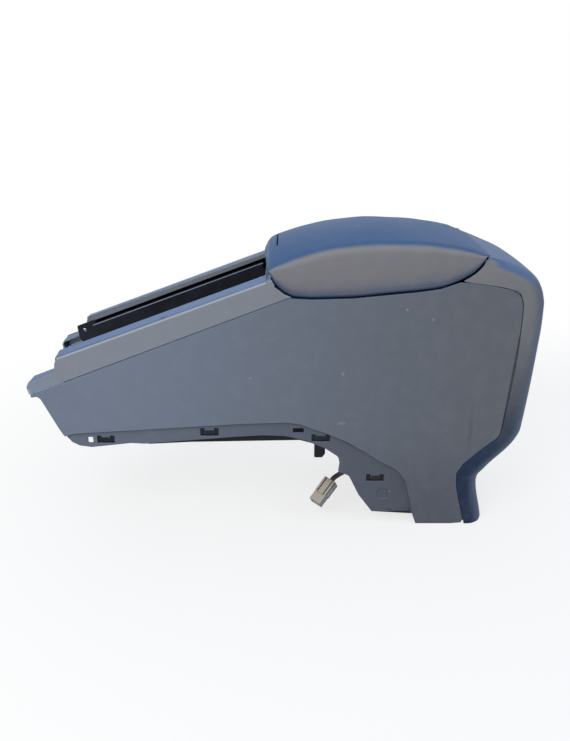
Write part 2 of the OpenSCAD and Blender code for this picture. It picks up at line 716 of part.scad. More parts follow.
// Accessory socket: barrel, closed end with its terminal block, and centre contact.
socket_front = bin_back - bin_wall - 4;
module power_socket() {
    end = bin_back + socket_len;
    color([0.7, 0.71, 0.73])
        translate([0, 0, socket_z])
            rotate([0, 90, 0]) {
                translate([0, 0, socket_front])
                    difference() {
                        cylinder(r = socket_r, h = end - socket_front);
                        translate([0, 0, -over])
                            cylinder(r = socket_r - 1.2, h = end - socket_front - 2 + over);
                    }
                translate([0, 0, end - 6])
                    cylinder(r = 3, h = 5);
                translate([0, 0, end])
                    cylinder(r = 6, h = cable_route[0][0] - end);
            }
}

module socket_bezel() {
    color([0.05, 0.05, 0.06])
        translate([bin_back - bin_wall - 3, 0, socket_z])
            rotate([0, 90, 0])
                difference() {
                    cylinder(r = bezel_r, h = 3);
                    translate([0, 0, -over])
                        cylinder(r = socket_r + screw_clear, h = 3 + 2 * over);
                }
}

module cable_clip() {
    color([0.05, 0.05, 0.06])
        translate(clip_at)
            difference() {
                union() {
                    translate([-4, 0, 0])
                        rotate([0, 90, 0])
                            cylinder(r = cable_d / 2 + 2.2, h = 8);
                    translate([-4, -4, 0])
                        cube([8, 8, bin_floor - bin_wall - clip_at[2]]);
                }
                translate([-5, 0, 0])
                    rotate([0, 90, 0])
                        cylinder(r = cable_d / 2 + 0.2, h = 10);
            }
}

// Ring of a tube round point i of a route.
function along(v, i) = unit(v[min(len(v) - 1, i + 1)] - v[max(0, i - 1)]);
function tube_ring(v, i, r, sides) =
    let (t = along(v, i), a = unit(cross(t, [0.2, 1, 0.1])), b = cross(t, a))
    [for (k = [0:sides - 1]) v[i] + r * (a * cos(360 * k / sides) + b * sin(360 * k / sides))];
module tube(route, r, sides) {
    loft([for (i = [0:len(route) - 1]) tube_ring(route, i, r, sides)]);
}

module harness_cable() {
    color([0.04, 0.04, 0.05])
        tube(cable_route, cable_d / 2, 8);
}

module harness_sleeve() {
    color([0.07, 0.07, 0.08])
        tube(sleeve_route, sleeve_d / 2, 10);
}

// Places its child at the connector's root, pointing down along the cable's end.
module at_plug() {
    translate(sleeve_route[len(sleeve_route) - 1])
        rotate(plug_turn)
            translate([0, 0, -plug_start])
                children();
}

// Depth of the connector's mouth, and the housing of its catch.
plug_mouth = 19;
catch_rise = 2;
catch_end = 14;
module harness_connector() {
    color([0.85, 0.85, 0.8])
        at_plug()
            difference() {
                union() {
                    translate([-plug_w / 2, -plug_t / 2, -plug_len])
                        cube([plug_w, plug_t, plug_len]);
                    translate([-plug_w / 4, plug_t / 2 - over, -plug_len + catch_end])
                        cube([plug_w / 2, catch_rise + over, plug_len - catch_end - over]);
                }
                translate([plug_wall - plug_w / 2, plug_wall - plug_t / 2, -plug_len - over])
                    cube([plug_w - 2 * plug_wall, plug_t - 2 * plug_wall, plug_mouth + over]);
            }
}

terminal_x = 2.6;
terminal_len = 14;
module connector_terminals() {
    color([0.8, 0.7, 0.4])
        at_plug()
            for (x = [-terminal_x, terminal_x])
                translate([x - 0.5, -1.2, plug_mouth - plug_len - terminal_len])
                    cube([1, 2.4, terminal_len]);
}

// Lid: closed form of the armrest, drawn in by inset on every side but the bottom.
lid_half = half_w - lid_inset;
lid_stations = [-255.6, -253.5, -251, -248.7, -245, -240, -233.7, -222, -206, -190, -170, -144, -116, -90,
    -62.6, -33.3, -15, -7.6, 3, 11.1, 15, 19.3, 23.6, 25.3, 28.4];
end_pull = [[-256, 1], [-200, 0], [0, 0], [28.4, -1]];
bow_share = [[-255.6, 1], [-233, 0.6], [-190, 0]];
flank = [[2.5, 0], [0.6, 0.18], [0, 0.4], [0.4, 0.7], [1.8, 0.9], [4.5, 1]];
crown_steps = [0.92, 0.8, 0.6, 0.4, 0.2];
crown_power = 2.2;

function lid_point(x, inset, y, z) =
    let (shift = inset * lookup(x, end_pull), bow = lid_bow * (1 - pow(y / lid_half, 2)) * lookup(x, bow_share))
    [x + shift - bow, y, z];
function lid_half_ring(x, inset, s) =
    let (low = lookup(x, lid_low), crease = lookup(x, lid_crease), top = lookup(x, lid_crown))
    let (drop = inset > 0 ? 30 : 0, edge = lid_half - inset)
    concat(
        [for (f = flank) lid_point(x, inset, s * (edge - f[0]),
            low + (crease - low) * f[1] - inset * f[1] - drop * (1 - f[1]))],
        [for (k = crown_steps) lid_point(x, inset, s * k * (edge - 4.5),
            crease + (top - crease) * (1 - pow(k, crown_power)) - inset)]);
function lid_ring(x, inset) =
    concat(lid_half_ring(x, inset, -1),
        [lid_point(x, inset, -0.5, lookup(x, lid_crown) - inset), lid_point(x, inset, 0.5, lookup(x, lid_crown) - inset)],
        reversed(lid_half_ring(x, inset, 1)));

module lid_form(inset) {
    loft([for (x = lid_stations) lid_ring(x, inset)]);
}

slit_x = -246.6;
lever_zone = [[-280, 371], [-280, 410], [slit_x, 410], [slit_x, 380], [-254, 374]];
pocket_zone = [[-280, 366], [-280, 410], [slit_x + lever_slit, 410], [slit_x + lever_slit, 366]];

module lid_pad() {
    color([0.45, 0.46, 0.5])
        difference() {
            lid_form(0);
            lid_form(pad_wall);
            slab(-lever_w / 2 - lever_gap, lever_w / 2 + lever_gap)
                polygon(pocket_zone);
        }
}

// Inner panel of the lid, a little inside the lid's lower edge.
inner_rise = 1.6;
inner_path = [[-252, 367.5 + inner_rise], [-247, 359 + inner_rise], [-233, 346 + inner_rise],
    [-222, 340.5 + inner_rise], [-198, 339 + inner_rise], [-144.3, 340.6 + inner_rise],
    [-99.6, 345.1 + inner_rise], [-60, 349 + inner_rise], [-33.3, 353 + inner_rise], [-7.6, 362.5 + inner_rise],
    [8, 373 + inner_rise]];
inner_half = lid_half - pad_wall - 3;
leaf_x = [-30, -8];
lug_y = lever_w / 2 + lever_gap + 0.3;
function inner_z(x) = lookup(x, inner_path);

module lid_inner() {
    color([0.12, 0.13, 0.16])
        difference() {
            union() {
                slab(-inner_half, inner_half)
                    polygon(band(inner_path, 0, inner_t));
                both_sides() {
                    slab(lug_y, lug_y + 3)
                        polygon([[-247, lever_axis[1] - 2], [-249, 363], [-236, 351], [-238, lever_axis[1]]]);
                    rod_y(lever_axis, lever_pin_r + 1.6, lug_y, lug_y + 3);
                }
                for (y = [-inner_half + 8, -30, 30, inner_half - 8 - inner_t])
                    slab(y, y + inner_t)
                        polygon(concat([for (i = [3:8]) inner_path[i]],
                            [[-36, inner_z(-36) + 14], [-216, inner_z(-216) + 14]]));
            }
            rod_y(lever_axis, lever_pin_r + ear_clear, -lug_y - 3 - over, lug_y + 3 + over);
            translate([-270, -slot_half, 340])
                cube([31, 2 * slot_half, 40]);
            for (at = leaf_screws)
                translate([at[0], at[1], inner_z(at[0]) - 2])
                    cylinder(r = screw_r + screw_clear, h = 8);
        }
}

module bump_stops() {
    color([0.05, 0.05, 0.05])
        for (at = stop_spots)
            for (s = [-1, 1])
                translate([at[0], s * at[1], 0])
                    difference() {
                        translate([0, 0, ring_z(at[0]) - 5])
                            cylinder(r = stop_r, h = 20);
                        slab(-20, 20)
                            translate([-at[0], 0])
                                polygon(concat(inner_path, [[8, 500], [-252, 500]]));
                        slab(-20, 20)
                            translate([-at[0], 0])
                                polygon(concat(moved(ring_path, stop_top), [[-20, 100], [-262, 100]]));
                    }
}

// Two curved steel arms joined by a plate under the lid's inner panel.
arm_path = [[42, 372], [40.5, 353], [31, 343], [9, 343], [-3, 350], [-7, 363]];
leaf_screws = [[-20, 20 - arm_y], [-20, arm_y - 20]];
module hinge_arms() {
    color([0.3, 0.31, 0.33])
        difference() {
            union() {
                slab(-arm_y - arm_t / 2, arm_y + arm_t / 2)
                    polygon(band([[leaf_x[0], inner_z(leaf_x[0])], [leaf_x[1], inner_z(leaf_x[1])]], -arm_t, 0));
                for (y = [-arm_y, arm_y]) {
                    slab(y - arm_t / 2, y + arm_t / 2)
                        difference() {
                            polygon(band(arm_path, 4.5, -4.5));
                            polygon(concat(inner_path, [[8, 500], [-252, 500]]));
                        }
                    rod_y(lid_axis, pin_r + 4, y - arm_t / 2, y + arm_t / 2);
                }
            }
            rod_y(lid_axis, pin_r + pin_clear, -arm_y - arm_t, arm_y + arm_t);
            for (at = leaf_screws)
                translate([at[0], at[1], inner_z(at[0]) - 10])
                    cylinder(r = screw_r + screw_clear, h = 20);
        }
}

leaf_tilt = atan2(inner_path[9][1] - inner_path[8][1], inner_path[9][0] - inner_path[8][0]);
module hinge_arm_screws() {
    color("silver")
        for (at = leaf_screws)
            translate([at[0], at[1], inner_z(at[0]) - arm_t / cos(leaf_tilt) - head_r * tan(leaf_tilt) - 0.1])
                rotate([180, 0, 0])
                    screw(screw_len);
}

module latch_pin() {
    color("silver")
        rod_y(lever_axis, lever_pin_r, -lug_y - 3, lug_y + 3);
}

// Return spring wound round the lever's pin.
coil_r = 2.4;
coil_wire = 0.9;
coil_turns = 5;
coil_pitch = 1.3;
coil_start = 12;
module latch_spring() {
    color("silver")
        tube([for (i = [0:12 * coil_turns]) [lever_axis[0] + coil_r * cos(30 * i), coil_start + coil_pitch * i / 12,
            lever_axis[1] + coil_r * sin(30 * i)]], coil_wire / 2, 6);
}

// Release lever: paddle that follows the lid's lip, lugs on the pin, and the hook.
lever_lug = 4;
stem = [[-247.6, 388], [-257.5, 382.6], [-258, 377], [-251, 372]];
module latch_lever() {
    hook_front = -249;
    color([0.42, 0.44, 0.48])
        difference() {
            union() {
                intersection() {
                    difference() {
                        lid_form(0);
                        lid_form(lever_t);
                    }
                    slab(-lever_w / 2, lever_w / 2)
                        polygon(lever_zone);
                }
                both_sides()
                    slab(lever_w / 2 - lever_lug, lever_w / 2 - lever_lug / 2)
                        polygon(concat(stem, [[lever_axis[0], lever_axis[1] - 3], [lever_axis[0] + 2, lever_axis[1]]]));
                both_sides()
                    rod_y(lever_axis, 3, lever_w / 2 - lever_lug, lever_w / 2 - lever_lug / 2);
                rod_y(lever_axis, 3, -hook_w / 2, hook_w / 2);
                slab(-hook_w / 2, hook_w / 2)
                    polygon(concat(stem, [[hook_front, 362], [hook_front, 325],
                        [-241.6, 325], [-241.6, 330.6], [-244.6, 331.5], [-244.6, 362],
                        [lever_axis[0] + 1, lever_axis[1] - 3], [lever_axis[0] + 2.6, lever_axis[1]]]));
            }
            rod_y(lever_axis, lever_pin_r + pin_clear, -lever_w, lever_w);
        }
}

side_panel_left();
side_panel_right();
upper_trim();
rear_cover();
tray_carrier();
storage_bin();
bin_mat();
panel_clips();
trim_screws();
bin_screws();
floor_bracket();
floor_bracket_screws();
hinge_bracket();
hinge_bracket_screws();
hinge_pin();
striker();
striker_screws();
power_socket();
socket_bezel();
cable_clip();
harness_cable();
harness_sleeve();
harness_connector();
connector_terminals();
lid_pad();
lid_inner();
bump_stops();
hinge_arms();
hinge_arm_screws();
latch_pin();
latch_spring();
latch_lever();
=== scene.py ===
"""Looks of the rear section of a car's centre console, with its hinged armrest lid.

Everything is in metres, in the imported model's frame: X runs from the dashboard to the rear seats,
Y across the car and Z up, with the origin on the floor between the two floor bolts.
"""

import bisect
import json
import logging
import math
from dataclasses import dataclass
from enum import Enum
from typing import Callable, Sequence

import bmesh
import bpy
from mathutils import Euler, Matrix, Vector


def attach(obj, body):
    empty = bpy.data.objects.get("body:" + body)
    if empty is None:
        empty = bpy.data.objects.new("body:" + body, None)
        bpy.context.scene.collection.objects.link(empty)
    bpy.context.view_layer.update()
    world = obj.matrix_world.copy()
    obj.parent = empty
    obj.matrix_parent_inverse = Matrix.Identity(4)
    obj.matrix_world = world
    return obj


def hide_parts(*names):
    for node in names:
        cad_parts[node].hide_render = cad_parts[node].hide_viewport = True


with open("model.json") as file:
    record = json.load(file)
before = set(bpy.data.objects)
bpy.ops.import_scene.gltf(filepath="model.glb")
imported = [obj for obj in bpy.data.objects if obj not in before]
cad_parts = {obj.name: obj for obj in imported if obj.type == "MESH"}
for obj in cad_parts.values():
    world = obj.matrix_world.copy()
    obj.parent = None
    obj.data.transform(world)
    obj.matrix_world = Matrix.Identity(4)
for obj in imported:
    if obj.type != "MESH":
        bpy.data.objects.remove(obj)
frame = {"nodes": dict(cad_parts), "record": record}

LOG = logging.getLogger("console")
MM = 0.001
Colour = tuple[float, float, float]
Point = tuple[float, float, float]
Span = tuple[float, float]
Form = bmesh.types.BMesh
Piece = bpy.types.Object


def srgb(red: int, green: int, blue: int) -> Colour:
    """Linear colour of three display values from 0 to 255."""
    def linear(value: float) -> float:
        """Linear value of one display value from 0 to 1."""
        return value / 12.92 if value <= 0.04045 else ((value + 0.055) / 1.055) ** 2.4
    return linear(red / 255), linear(green / 255), linear(blue / 255)


class Profile:
    """Smooth curve through points that keeps each rise and fall of its data."""

    def __init__(self, points: Sequence[tuple[float, float]]) -> None:
        """Sorts the points and works out the slope at each.

        Args:
            points: Pairs of a place and its value.
        """
        pairs = sorted(points)
        self.places = [p for p, _ in pairs]
        self.values = [v for _, v in pairs]
        steps = [b - a for a, b in zip(self.places, self.places[1:])]
        rises = [(b - a) / s for a, b, s in zip(self.values, self.values[1:], steps)]
        inner = [self._slope(*r, *s) for r, s in zip(zip(rises, rises[1:]), zip(steps, steps[1:]))]
        self.slopes = [rises[0], *inner, rises[-1]]

    @staticmethod
    def _slope(before: float, after: float, step_before: float, step_after: float) -> float:
        """Slope at a point between two stretches, level where they turn back.

        Args:
            before: Rise of the stretch before it, per unit of its length.
            after: Rise of the stretch after it.
            step_before: Length of the stretch before it.
            step_after: Length of the stretch after it.

        Returns:
            The slope.
        """
        if before * after <= 0:
            return 0.0
        near, far = 2 * step_after + step_before, step_after + 2 * step_before
        return (near + far) / (near / before + far / after)

    def at(self, place: float) -> float:
        """Value at a place, held at the ends.

        Args:
            place: The place.

        Returns:
            The value.
        """
        place = min(max(place, self.places[0]), self.places[-1])
        i = min(max(bisect.bisect_right(self.places, place) - 1, 0), len(self.places) - 2)
        step = self.places[i + 1] - self.places[i]
        t = (place - self.places[i]) / step
        rise = self.values[i + 1] - self.values[i]
        ease = t * t * (3 - 2 * t)
        bend = t * (1 - t) * ((1 - t) * self.slopes[i] - t * self.slopes[i + 1]) * step
        return self.values[i] + rise * ease + bend


def settled(thing: object, **settings: object) -> None:
    """Sets attributes of one of Blender's things."""
    for key, value in settings.items():
        setattr(thing, key, value)


class Link:
    """A shader value that takes part in Python arithmetic."""

    def __init__(self, nodes: "Nodes", socket: bpy.types.NodeSocket) -> None:
        """Wraps one output socket of a tree's nodes."""
        self.nodes = nodes
        self.socket = socket

    def _maths(self, operation: str, first: object, second: object = 0.0) -> "Link":
        """Adds one Math node."""
        return self.nodes.node("ShaderNodeMath", {"operation": operation}, {0: first, 1: second})

    def __add__(self, other: object) -> "Link":
        """Sum."""
        return self._maths("ADD", self, other)

    def __radd__(self, other: object) -> "Link":
        """Reflected sum."""
        return self._maths("ADD", other, self)

    def __sub__(self, other: object) -> "Link":
        """Difference."""
        return self._maths("SUBTRACT", self, other)

    def __rsub__(self, other: object) -> "Link":
        """Reflected difference."""
        return self._maths("SUBTRACT", other, self)

    def __mul__(self, other: object) -> "Link":
        """Product."""
        return self._maths("MULTIPLY", self, other)

    def __rmul__(self, other: object) -> "Link":
        """Reflected product."""
        return self._maths("MULTIPLY", other, self)

    def __abs__(self) -> "Link":
        """Size without the sign."""
        return self._maths("ABSOLUTE", self)

    def fraction(self) -> "Link":
        """What is left past the last whole number."""
        return self._maths("FRACT", self)

    def larger(self, other: object) -> "Link":
        """The larger of two values."""
        return self._maths("MAXIMUM", self, other)

    def held(self) -> "Link":
        """The value held between 0 and 1."""
        return self._maths("MINIMUM", self.larger(0.0), 1.0)

    def step(self, start: float, end: float) -> "Link":
        """Smooth step from 0 at start to 1 at end."""
        settings = {"interpolation_type": "SMOOTHSTEP"}
        return self.nodes.node("ShaderNodeMapRange", settings, {0: self, 1: start, 2: end, 3: 0.0, 4: 1.0})


class Nodes:
    """The node tree of a material or of the world."""

    def __init__(self, owner: bpy.types.Material | bpy.types.World) -> None:
        """Empties the owner's tree."""
        owner.use_nodes = True
        self.tree = owner.node_tree
        self.tree.nodes.clear()

    def node(self, kind: str, settings: dict | None = None, values: dict | None = None,
             output: int | str = 0) -> Link | None:
        """Adds one node.

        Args:
            kind: Node type.
            settings: Its own settings, set first.
            values: Values or links of its sockets, by name or number.
            output: The output that is returned.

        Returns:
            The output as a link, or None from an output node, which has none.
        """
        node = self.tree.nodes.new(kind)
        settled(node, **(settings or {}))
        for key, value in (values or {}).items():
            self.feed(node.inputs[key], value)
        return Link(self, node.outputs[output]) if node.outputs else None

    def feed(self, socket: bpy.types.NodeSocket, value: object) -> None:
        """Links or sets one input."""
        if isinstance(value, Link):
            self.tree.links.new(value.socket, socket)
        elif isinstance(value, tuple) and socket.type == "RGBA":
            socket.default_value = (*value, 1)
        else:
            socket.default_value = value


class Shader(Nodes):
    """One material with its surface shader."""

    def __init__(self, name: str) -> None:
        """Starts the material.

        Args:
            name: Name of the material.
        """
        self.material = bpy.data.materials.new(name)
        super().__init__(self.material)
        surface = self.node("ShaderNodeBsdfPrincipled")
        self.inputs = surface.socket.node.inputs
        self.node("ShaderNodeOutputMaterial", None, {"Surface": surface})
        self.coordinates = self.node("ShaderNodeTexCoord").socket.node.outputs

    def set(self, name: str, value: object) -> None:
        """Links or sets one input of the surface shader."""
        self.feed(self.inputs[name], value)

    def place(self) -> Link:
        """Object coordinates."""
        return Link(self, self.coordinates["Object"])

    def axis(self, name: str) -> Link:
        """One object coordinate, in metres."""
        return self.node("ShaderNodeSeparateXYZ", None, {0: self.place()}, name)

    def facing(self, name: str) -> Link:
        """One component of the surface's own direction."""
        return self.node("ShaderNodeSeparateXYZ", None, {0: Link(self, self.coordinates["Normal"])}, name)

    def noise(self, scale: float, detail: float = 3.0, roughness: float = 0.5,
              stretch: Point = (1, 1, 1)) -> Link:
        """Noise from 0 to 1.

        Args:
            scale: Cells per metre.
            detail: Octaves.
            roughness: Share of each finer octave.
            stretch: Factor on each axis.

        Returns:
            The noise's factor.
        """
        mapped = self.node("ShaderNodeMapping", None, {"Vector": self.place(), "Scale": stretch})
        values = {"Vector": mapped, "Scale": scale, "Detail": detail, "Roughness": roughness}
        return self.node("ShaderNodeTexNoise", None, values)

    def cells(self, scale: float) -> Link:
        """Distance inside Voronoi cells, with scale cells per metre."""
        return self.node("ShaderNodeTexVoronoi", None, {"Vector": self.place(), "Scale": scale})

    def mix(self, factor: object, first: object, second: object) -> Link:
        """Mixes two colours by a factor."""
        return self.node("ShaderNodeMix", {"data_type": "RGBA"}, {0: factor, 6: first, 7: second}, 2)

    def bump(self, height: Link, distance: float) -> None:
        """Lets a height field, in metres times distance, shape the surface's normal."""
        values = {"Strength": 1.0, "Distance": distance, "Height": height}
        self.set("Normal", self.node("ShaderNodeBump", None, values))

    def spot(self, centre: Point, radius: float, stretch: Point) -> Link:
        """Soft spot round a point: 1 at its centre and 0 past its radius.

        Args:
            centre: Point in metres.
            radius: Radius in metres.
            stretch: Factor on each axis before the distance is taken.

        Returns:
            A link from 0 to 1.
        """
        moved = self.node("ShaderNodeVectorMath", {"operation": "SUBTRACT"}, {0: self.place(), 1: centre})
        scaled = self.node("ShaderNodeVectorMath", {"operation": "MULTIPLY"}, {0: moved, 1: stretch})
        reach = self.node("ShaderNodeVectorMath", {"operation": "LENGTH"}, {0: scaled}, "Value")
        return reach.step(radius, 0.0)


@dataclass(frozen=True)
class SpotMark:
    """A pale rub, a dark nick or a painted shade line on a face, its stretch a factor on each axis."""

    centre: Point
    radius: float
    stretch: Point = (1, 1, 1)
    strength: float = 0.5


@dataclass(frozen=True)
class Moulding:
    """Grained plastic with painted light and shade: a grey that darkens from the front to the rear as
    painted light falloff, with painted top light where it faces up or ahead, painted shade where it
    faces down or to the rear or is set in, painted light and shade low down, and a painted highlight
    band on rounded edges.

    A span of two values holds where a smooth step begins and ends: run, sink and recess in metres
    along X, down Z and out from the middle, and the others in the surface's own direction.
    """

    front: Colour
    # Painted light falloff: the grey turns from the front colour to this darker rear one along X.
    rear: Colour
    # Painted top light: the colour that upward faces turn to, bluer on the grey plastics and paler on the
    # connector.
    painted_top_light: Colour
    # Painted shade: the darker colour that downward faces turn to.
    under: Colour = srgb(58, 72, 98)
    # Painted light and shade low down: deep navy at the cover's foot, a little darker on the panels, bluer on
    # the trim's nose.
    painted_low_light: Colour = srgb(84, 89, 100)
    # Painted shade on faces that look to the rear, and painted sky light on faces that look ahead.
    painted_aft_shade: Colour = srgb(60, 76, 104)
    painted_ahead_light: Colour | None = None
    # Painted shade on faces set in from the outer face, darker again to the rear.
    recess_shade_front: Colour = srgb(90, 98, 112)
    recess_shade_rear: Colour = srgb(71, 75, 86)
    # Pale of the rubs, haze, specks and hairs, and of the painted highlight band.
    pale: Colour = srgb(168, 172, 180)
    dark: Colour = srgb(22, 26, 34)
    # Spans of the painted light falloff, the painted light and shade low down, and the painted recess shade.
    run: Span = (-0.56, 0.08)
    sink: Span = (0.16, 0.02)
    recess: Span | None = None
    # Spans of the painted shade on rear-facing faces and the painted sky light on front-facing ones.
    aft_shade_span: Span = (0.25, 0.9)
    ahead_light_span: Span = (-0.25, -0.7)
    # Span of the painted top light, by how far a face looks up.
    turn: Span = (0.3, 0.9)
    # Span and share of the painted shade on downward faces.
    under_shade_span: Span = (-0.02, -0.5)
    under_shade_share: float = 0.85
    # Share, rise and fall of the painted highlight band on rounded edges, by how far a face looks up.
    ridge_highlight: float = 0.0
    highlight_rise: Span = (0.15, 0.4)
    highlight_fall: Span = (0.45, 0.75)
    drift: Span = (0.12, 0.03)
    clouds: Point = (7, 4, 0.55)
    cloud_share: float = 0.22
    mottles: Point = (55, 5, 0.65)
    mottle_share: float = 0.14
    specks: Point = (260, 4, 0.7)
    speck_share: float = 0.05
    hairs: tuple[float, float, float, Point] = (130, 2, 0.6, (0.35, 1, 5))
    hair_share: float = 0.14
    rubs: tuple[SpotMark, ...] = ()
    nicks_and_shade_lines: tuple[SpotMark, ...] = ()
    rub_noise: Point = (700, 3, 0.7)
    roughness: float = 0.52
    specular: float = 0.22
    grain: float = 1500
    grain_depth: float = 0.00006

    def build(self, name: str) -> bpy.types.Material:
        """Makes the material.

        Args:
            name: Name of the material.

        Returns:
            The finished material.
        """
        shader = Shader(name)
        cloud, mottle = shader.noise(*self.clouds), shader.noise(*self.mottles)
        rubbed, nicked_and_shaded = self._marks(shader, self.rubs), self._marks(shader, self.nicks_and_shade_lines)
        # The front's grey, then painted light and shade, random tone, rubs, and nicks with painted shade
        # lines.
        body = self.front
        for mask, colour in [*self._layers(shader, cloud, mottle), (rubbed, self.pale), (nicked_and_shaded, self.dark)]:
            body = shader.mix(mask, body, colour)
        shader.set("Base Color", body)
        shader.set("Roughness", self.roughness + (cloud - 0.5) * 0.16 + (mottle - 0.5) * 0.12 - rubbed * 0.12)
        shader.set("Specular IOR Level", self.specular)
        fine = shader.noise(self.grain * 0.45, 3)
        shader.bump(shader.cells(self.grain) * 0.7 + fine * 0.5 - rubbed * 0.4, self.grain_depth)
        return shader.material

    def _layers(self, shader: Shader, cloud: Link, mottle: Link) -> list[tuple[Link, Colour | Link]]:
        """What lies over the front's colour, from the lowest layer to the topmost: painted light and shade
        first, then random haze, cloud, specks and hairs.

        Args:
            shader: The material that is being made.
            cloud: Coarse noise.
            mottle: Fine noise.

        Returns:
            Pairs of a mask and its colour.
        """
        # Painted light falloff: the mask that darkens the grey towards the rear.
        along = (shader.axis("X") + (cloud - 0.5) * self.drift[0]).step(*self.run)
        # Painted light and shade low down: the mask of the low colour.
        down = (shader.axis("Z") + (cloud - 0.5) * self.drift[1]).step(*self.sink)
        level, upright = shader.facing("X"), shader.facing("Z")
        layers = [(along, self.rear), (down, self.painted_low_light)]
        # Painted recess shade on faces set in from the outer face.
        if self.recess:
            recess_shade = shader.mix(along, self.recess_shade_front, self.recess_shade_rear)
            layers.append((abs(shader.axis("Y")).step(*self.recess), recess_shade))
        # Painted shade on rear-facing faces, painted sky light on front-facing ones.
        layers.append((level.step(*self.aft_shade_span), self.painted_aft_shade))
        if self.painted_ahead_light:
            layers.append((level.step(*self.ahead_light_span), self.painted_ahead_light))
        # Painted top light on upward faces.
        layers.append((upright.step(*self.turn), self.painted_top_light))
        # Painted shade on downward faces.
        layers.append((upright.step(*self.under_shade_span) * self.under_shade_share, self.under))
        # Painted highlight band where faces turn from the side to the top.
        if self.ridge_highlight:
            highlight_band = upright.step(*self.highlight_rise) * (1 - upright.step(*self.highlight_fall))
            layers.append((highlight_band * self.ridge_highlight, self.pale))
        hair = shader.noise(*self.hairs).step(0.7, 0.74) * mottle.step(0.5, 0.62)
        return layers + [
            ((mottle - 0.45).held() * self.mottle_share, self.pale),
            ((0.5 - cloud).held() * self.cloud_share, self.dark),
            (shader.noise(*self.specks).step(0.62, 0.8) * self.speck_share, self.pale),
            (hair * self.hair_share, self.pale)]

    def _marks(self, shader: Shader, marks: Sequence[SpotMark]) -> Link | float:
        """Sum of the marks, broken up by a fine noise.

        Args:
            shader: The material that is being made.
            marks: The marks.

        Returns:
            A link from 0 to 1, or 0 where there are none.
        """
        total: Link | float = 0.0
        for mark in marks:
            total = shader.spot(mark.centre, mark.radius, mark.stretch) * mark.strength + total
        if isinstance(total, float):
            return total
        return (total * shader.noise(*self.rub_noise).step(0.25, 0.6)).held()


@dataclass(frozen=True)
class Finish:
    """Any other surface: plastic, rubber or metal with mottling, grime and a fine relief."""

    colour: Colour
    second: Colour
    roughness: float = 0.5
    metallic: float = 0.0
    relief: float = 1200
    relief_depth: float = 0.00004
    patches: Point = (40, 5, 0.6)
    patch_edge: Span = (0.35, 0.72)
    patch_share: float = 0.75
    speck_edge: Span = (0.55, 0.75)
    dull_edge: Span = (0.6, 0.85)
    dulled: float = 0.35
    brushed: Point = (1, 1, 1)
    specular: float = 0.4

    def build(self, name: str) -> bpy.types.Material:
        """Makes the material.

        Args:
            name: Name of the material.

        Returns:
            The finished material.
        """
        shader = Shader(name)
        patch = shader.noise(*self.patches)
        fine = shader.noise(self.relief * 0.25, 3, 0.6, self.brushed)
        specks = fine.step(*self.speck_edge) * (1 - self.patch_share)
        blend = (patch.step(*self.patch_edge) * self.patch_share + specks).held()
        shader.set("Base Color", shader.mix(blend, self.colour, self.second))
        shader.set("Roughness", self.roughness + (patch - 0.5) * 0.3 + (fine - 0.5) * 0.15)
        if self.metallic:
            shader.set("Metallic", (self.metallic - patch.step(*self.dull_edge) * self.dulled).held())
        shader.set("Specular IOR Level", self.specular)
        height = shader.noise(self.relief, 3, 0.6, self.brushed) + shader.cells(self.relief) * 0.5
        shader.bump(height, self.relief_depth)
        return shader.material


@dataclass(frozen=True)
class Jacket:
    """Cable covering: smooth sheath, or tape wound round it with a visible lap."""

    colour: Colour
    lap: float = 0.0
    worn: Colour = srgb(74, 78, 86)
    shade: Colour = srgb(12, 13, 16)
    slant: Point = (-0.5, 0.35, 1.0)
    relief: float = 0.00006
    lap_relief: float = 0.00018

    def build(self, name: str) -> bpy.types.Material:
        """Makes the material, whose laps follow the piece's length by its slant on each axis.

        Args:
            name: Name of the material.

        Returns:
            The finished material.
        """
        shader = Shader(name)
        wear = shader.noise(180, 4, 0.6)
        body = shader.mix(wear.step(0.4, 0.8) * 0.5, self.colour, self.worn)
        height = shader.noise(1800, 3) * 0.3
        if self.lap:
            run = sum(shader.axis(axis) * slant for axis, slant in zip("XYZ", self.slant))
            lap = (run * (1 / self.lap)).fraction()
            edge = lap.step(0.0, 0.12) * (1 - lap.step(0.8, 1.0))
            body = shader.mix((1 - edge) * 0.6, body, self.shade)
            height = height + edge
        shader.set("Base Color", body)
        shader.set("Roughness", 0.42 + wear * 0.25)
        shader.bump(height, self.lap_relief if self.lap else self.relief)
        return shader.material


class Slot(Enum):
    """The record's material slots."""

    PANEL = "panel_grain"
    TRIM = "trim_grain"
    COVER = "cover_grain"
    INNER = "inner_black"
    LID = "lid_skin"
    RUBBER = "rubber_black"
    STEEL = "steel_black"
    ZINC = "zinc_steel"
    SOCKET = "socket_metal"
    CABLE = "cable_black"
    NYLON = "connector_white"
    BRASS = "terminal_brass"


PANEL_RUBS = (
    SpotMark((-0.157, -0.105, 0.232), 0.003, (1, 1, 0.7), 0.4),
    SpotMark((-0.157, -0.105, 0.159), 0.005, (0.5, 1, 1.4), 0.22),
    SpotMark((-0.282, -0.105, 0.226), 0.003, strength=0.35),
    SpotMark((-0.075, -0.105, 0.322), 0.003, strength=0.4),
    SpotMark((-0.086, -0.1, 0.05), 0.002, strength=0.6),
    SpotMark((-0.040, -0.105, 0.308), 0.003, strength=0.35),
)
PANEL_NICKS_AND_BEND_SHADE = (
    SpotMark((-0.084, -0.1, 0.021), 0.005, (0.7, 1, 1.6), 0.5),
    # Painted shade: a faint dark vertical line where the panel bends slightly towards its rear.
    SpotMark((0.022, -0.105, 0.15), 0.05, (11, 1, 1), 0.28),
)
TRIM_RUBS = (SpotMark((-0.584, -0.104, 0.206), 0.006, strength=0.6),)
TRIM_NICKS = (SpotMark((-0.398, -0.100, 0.311), 0.006, (0.6, 1, 1.3), 0.9),)
LID_RUBS = (SpotMark((-0.136, -0.03, 0.417), 0.006, strength=0.2),)
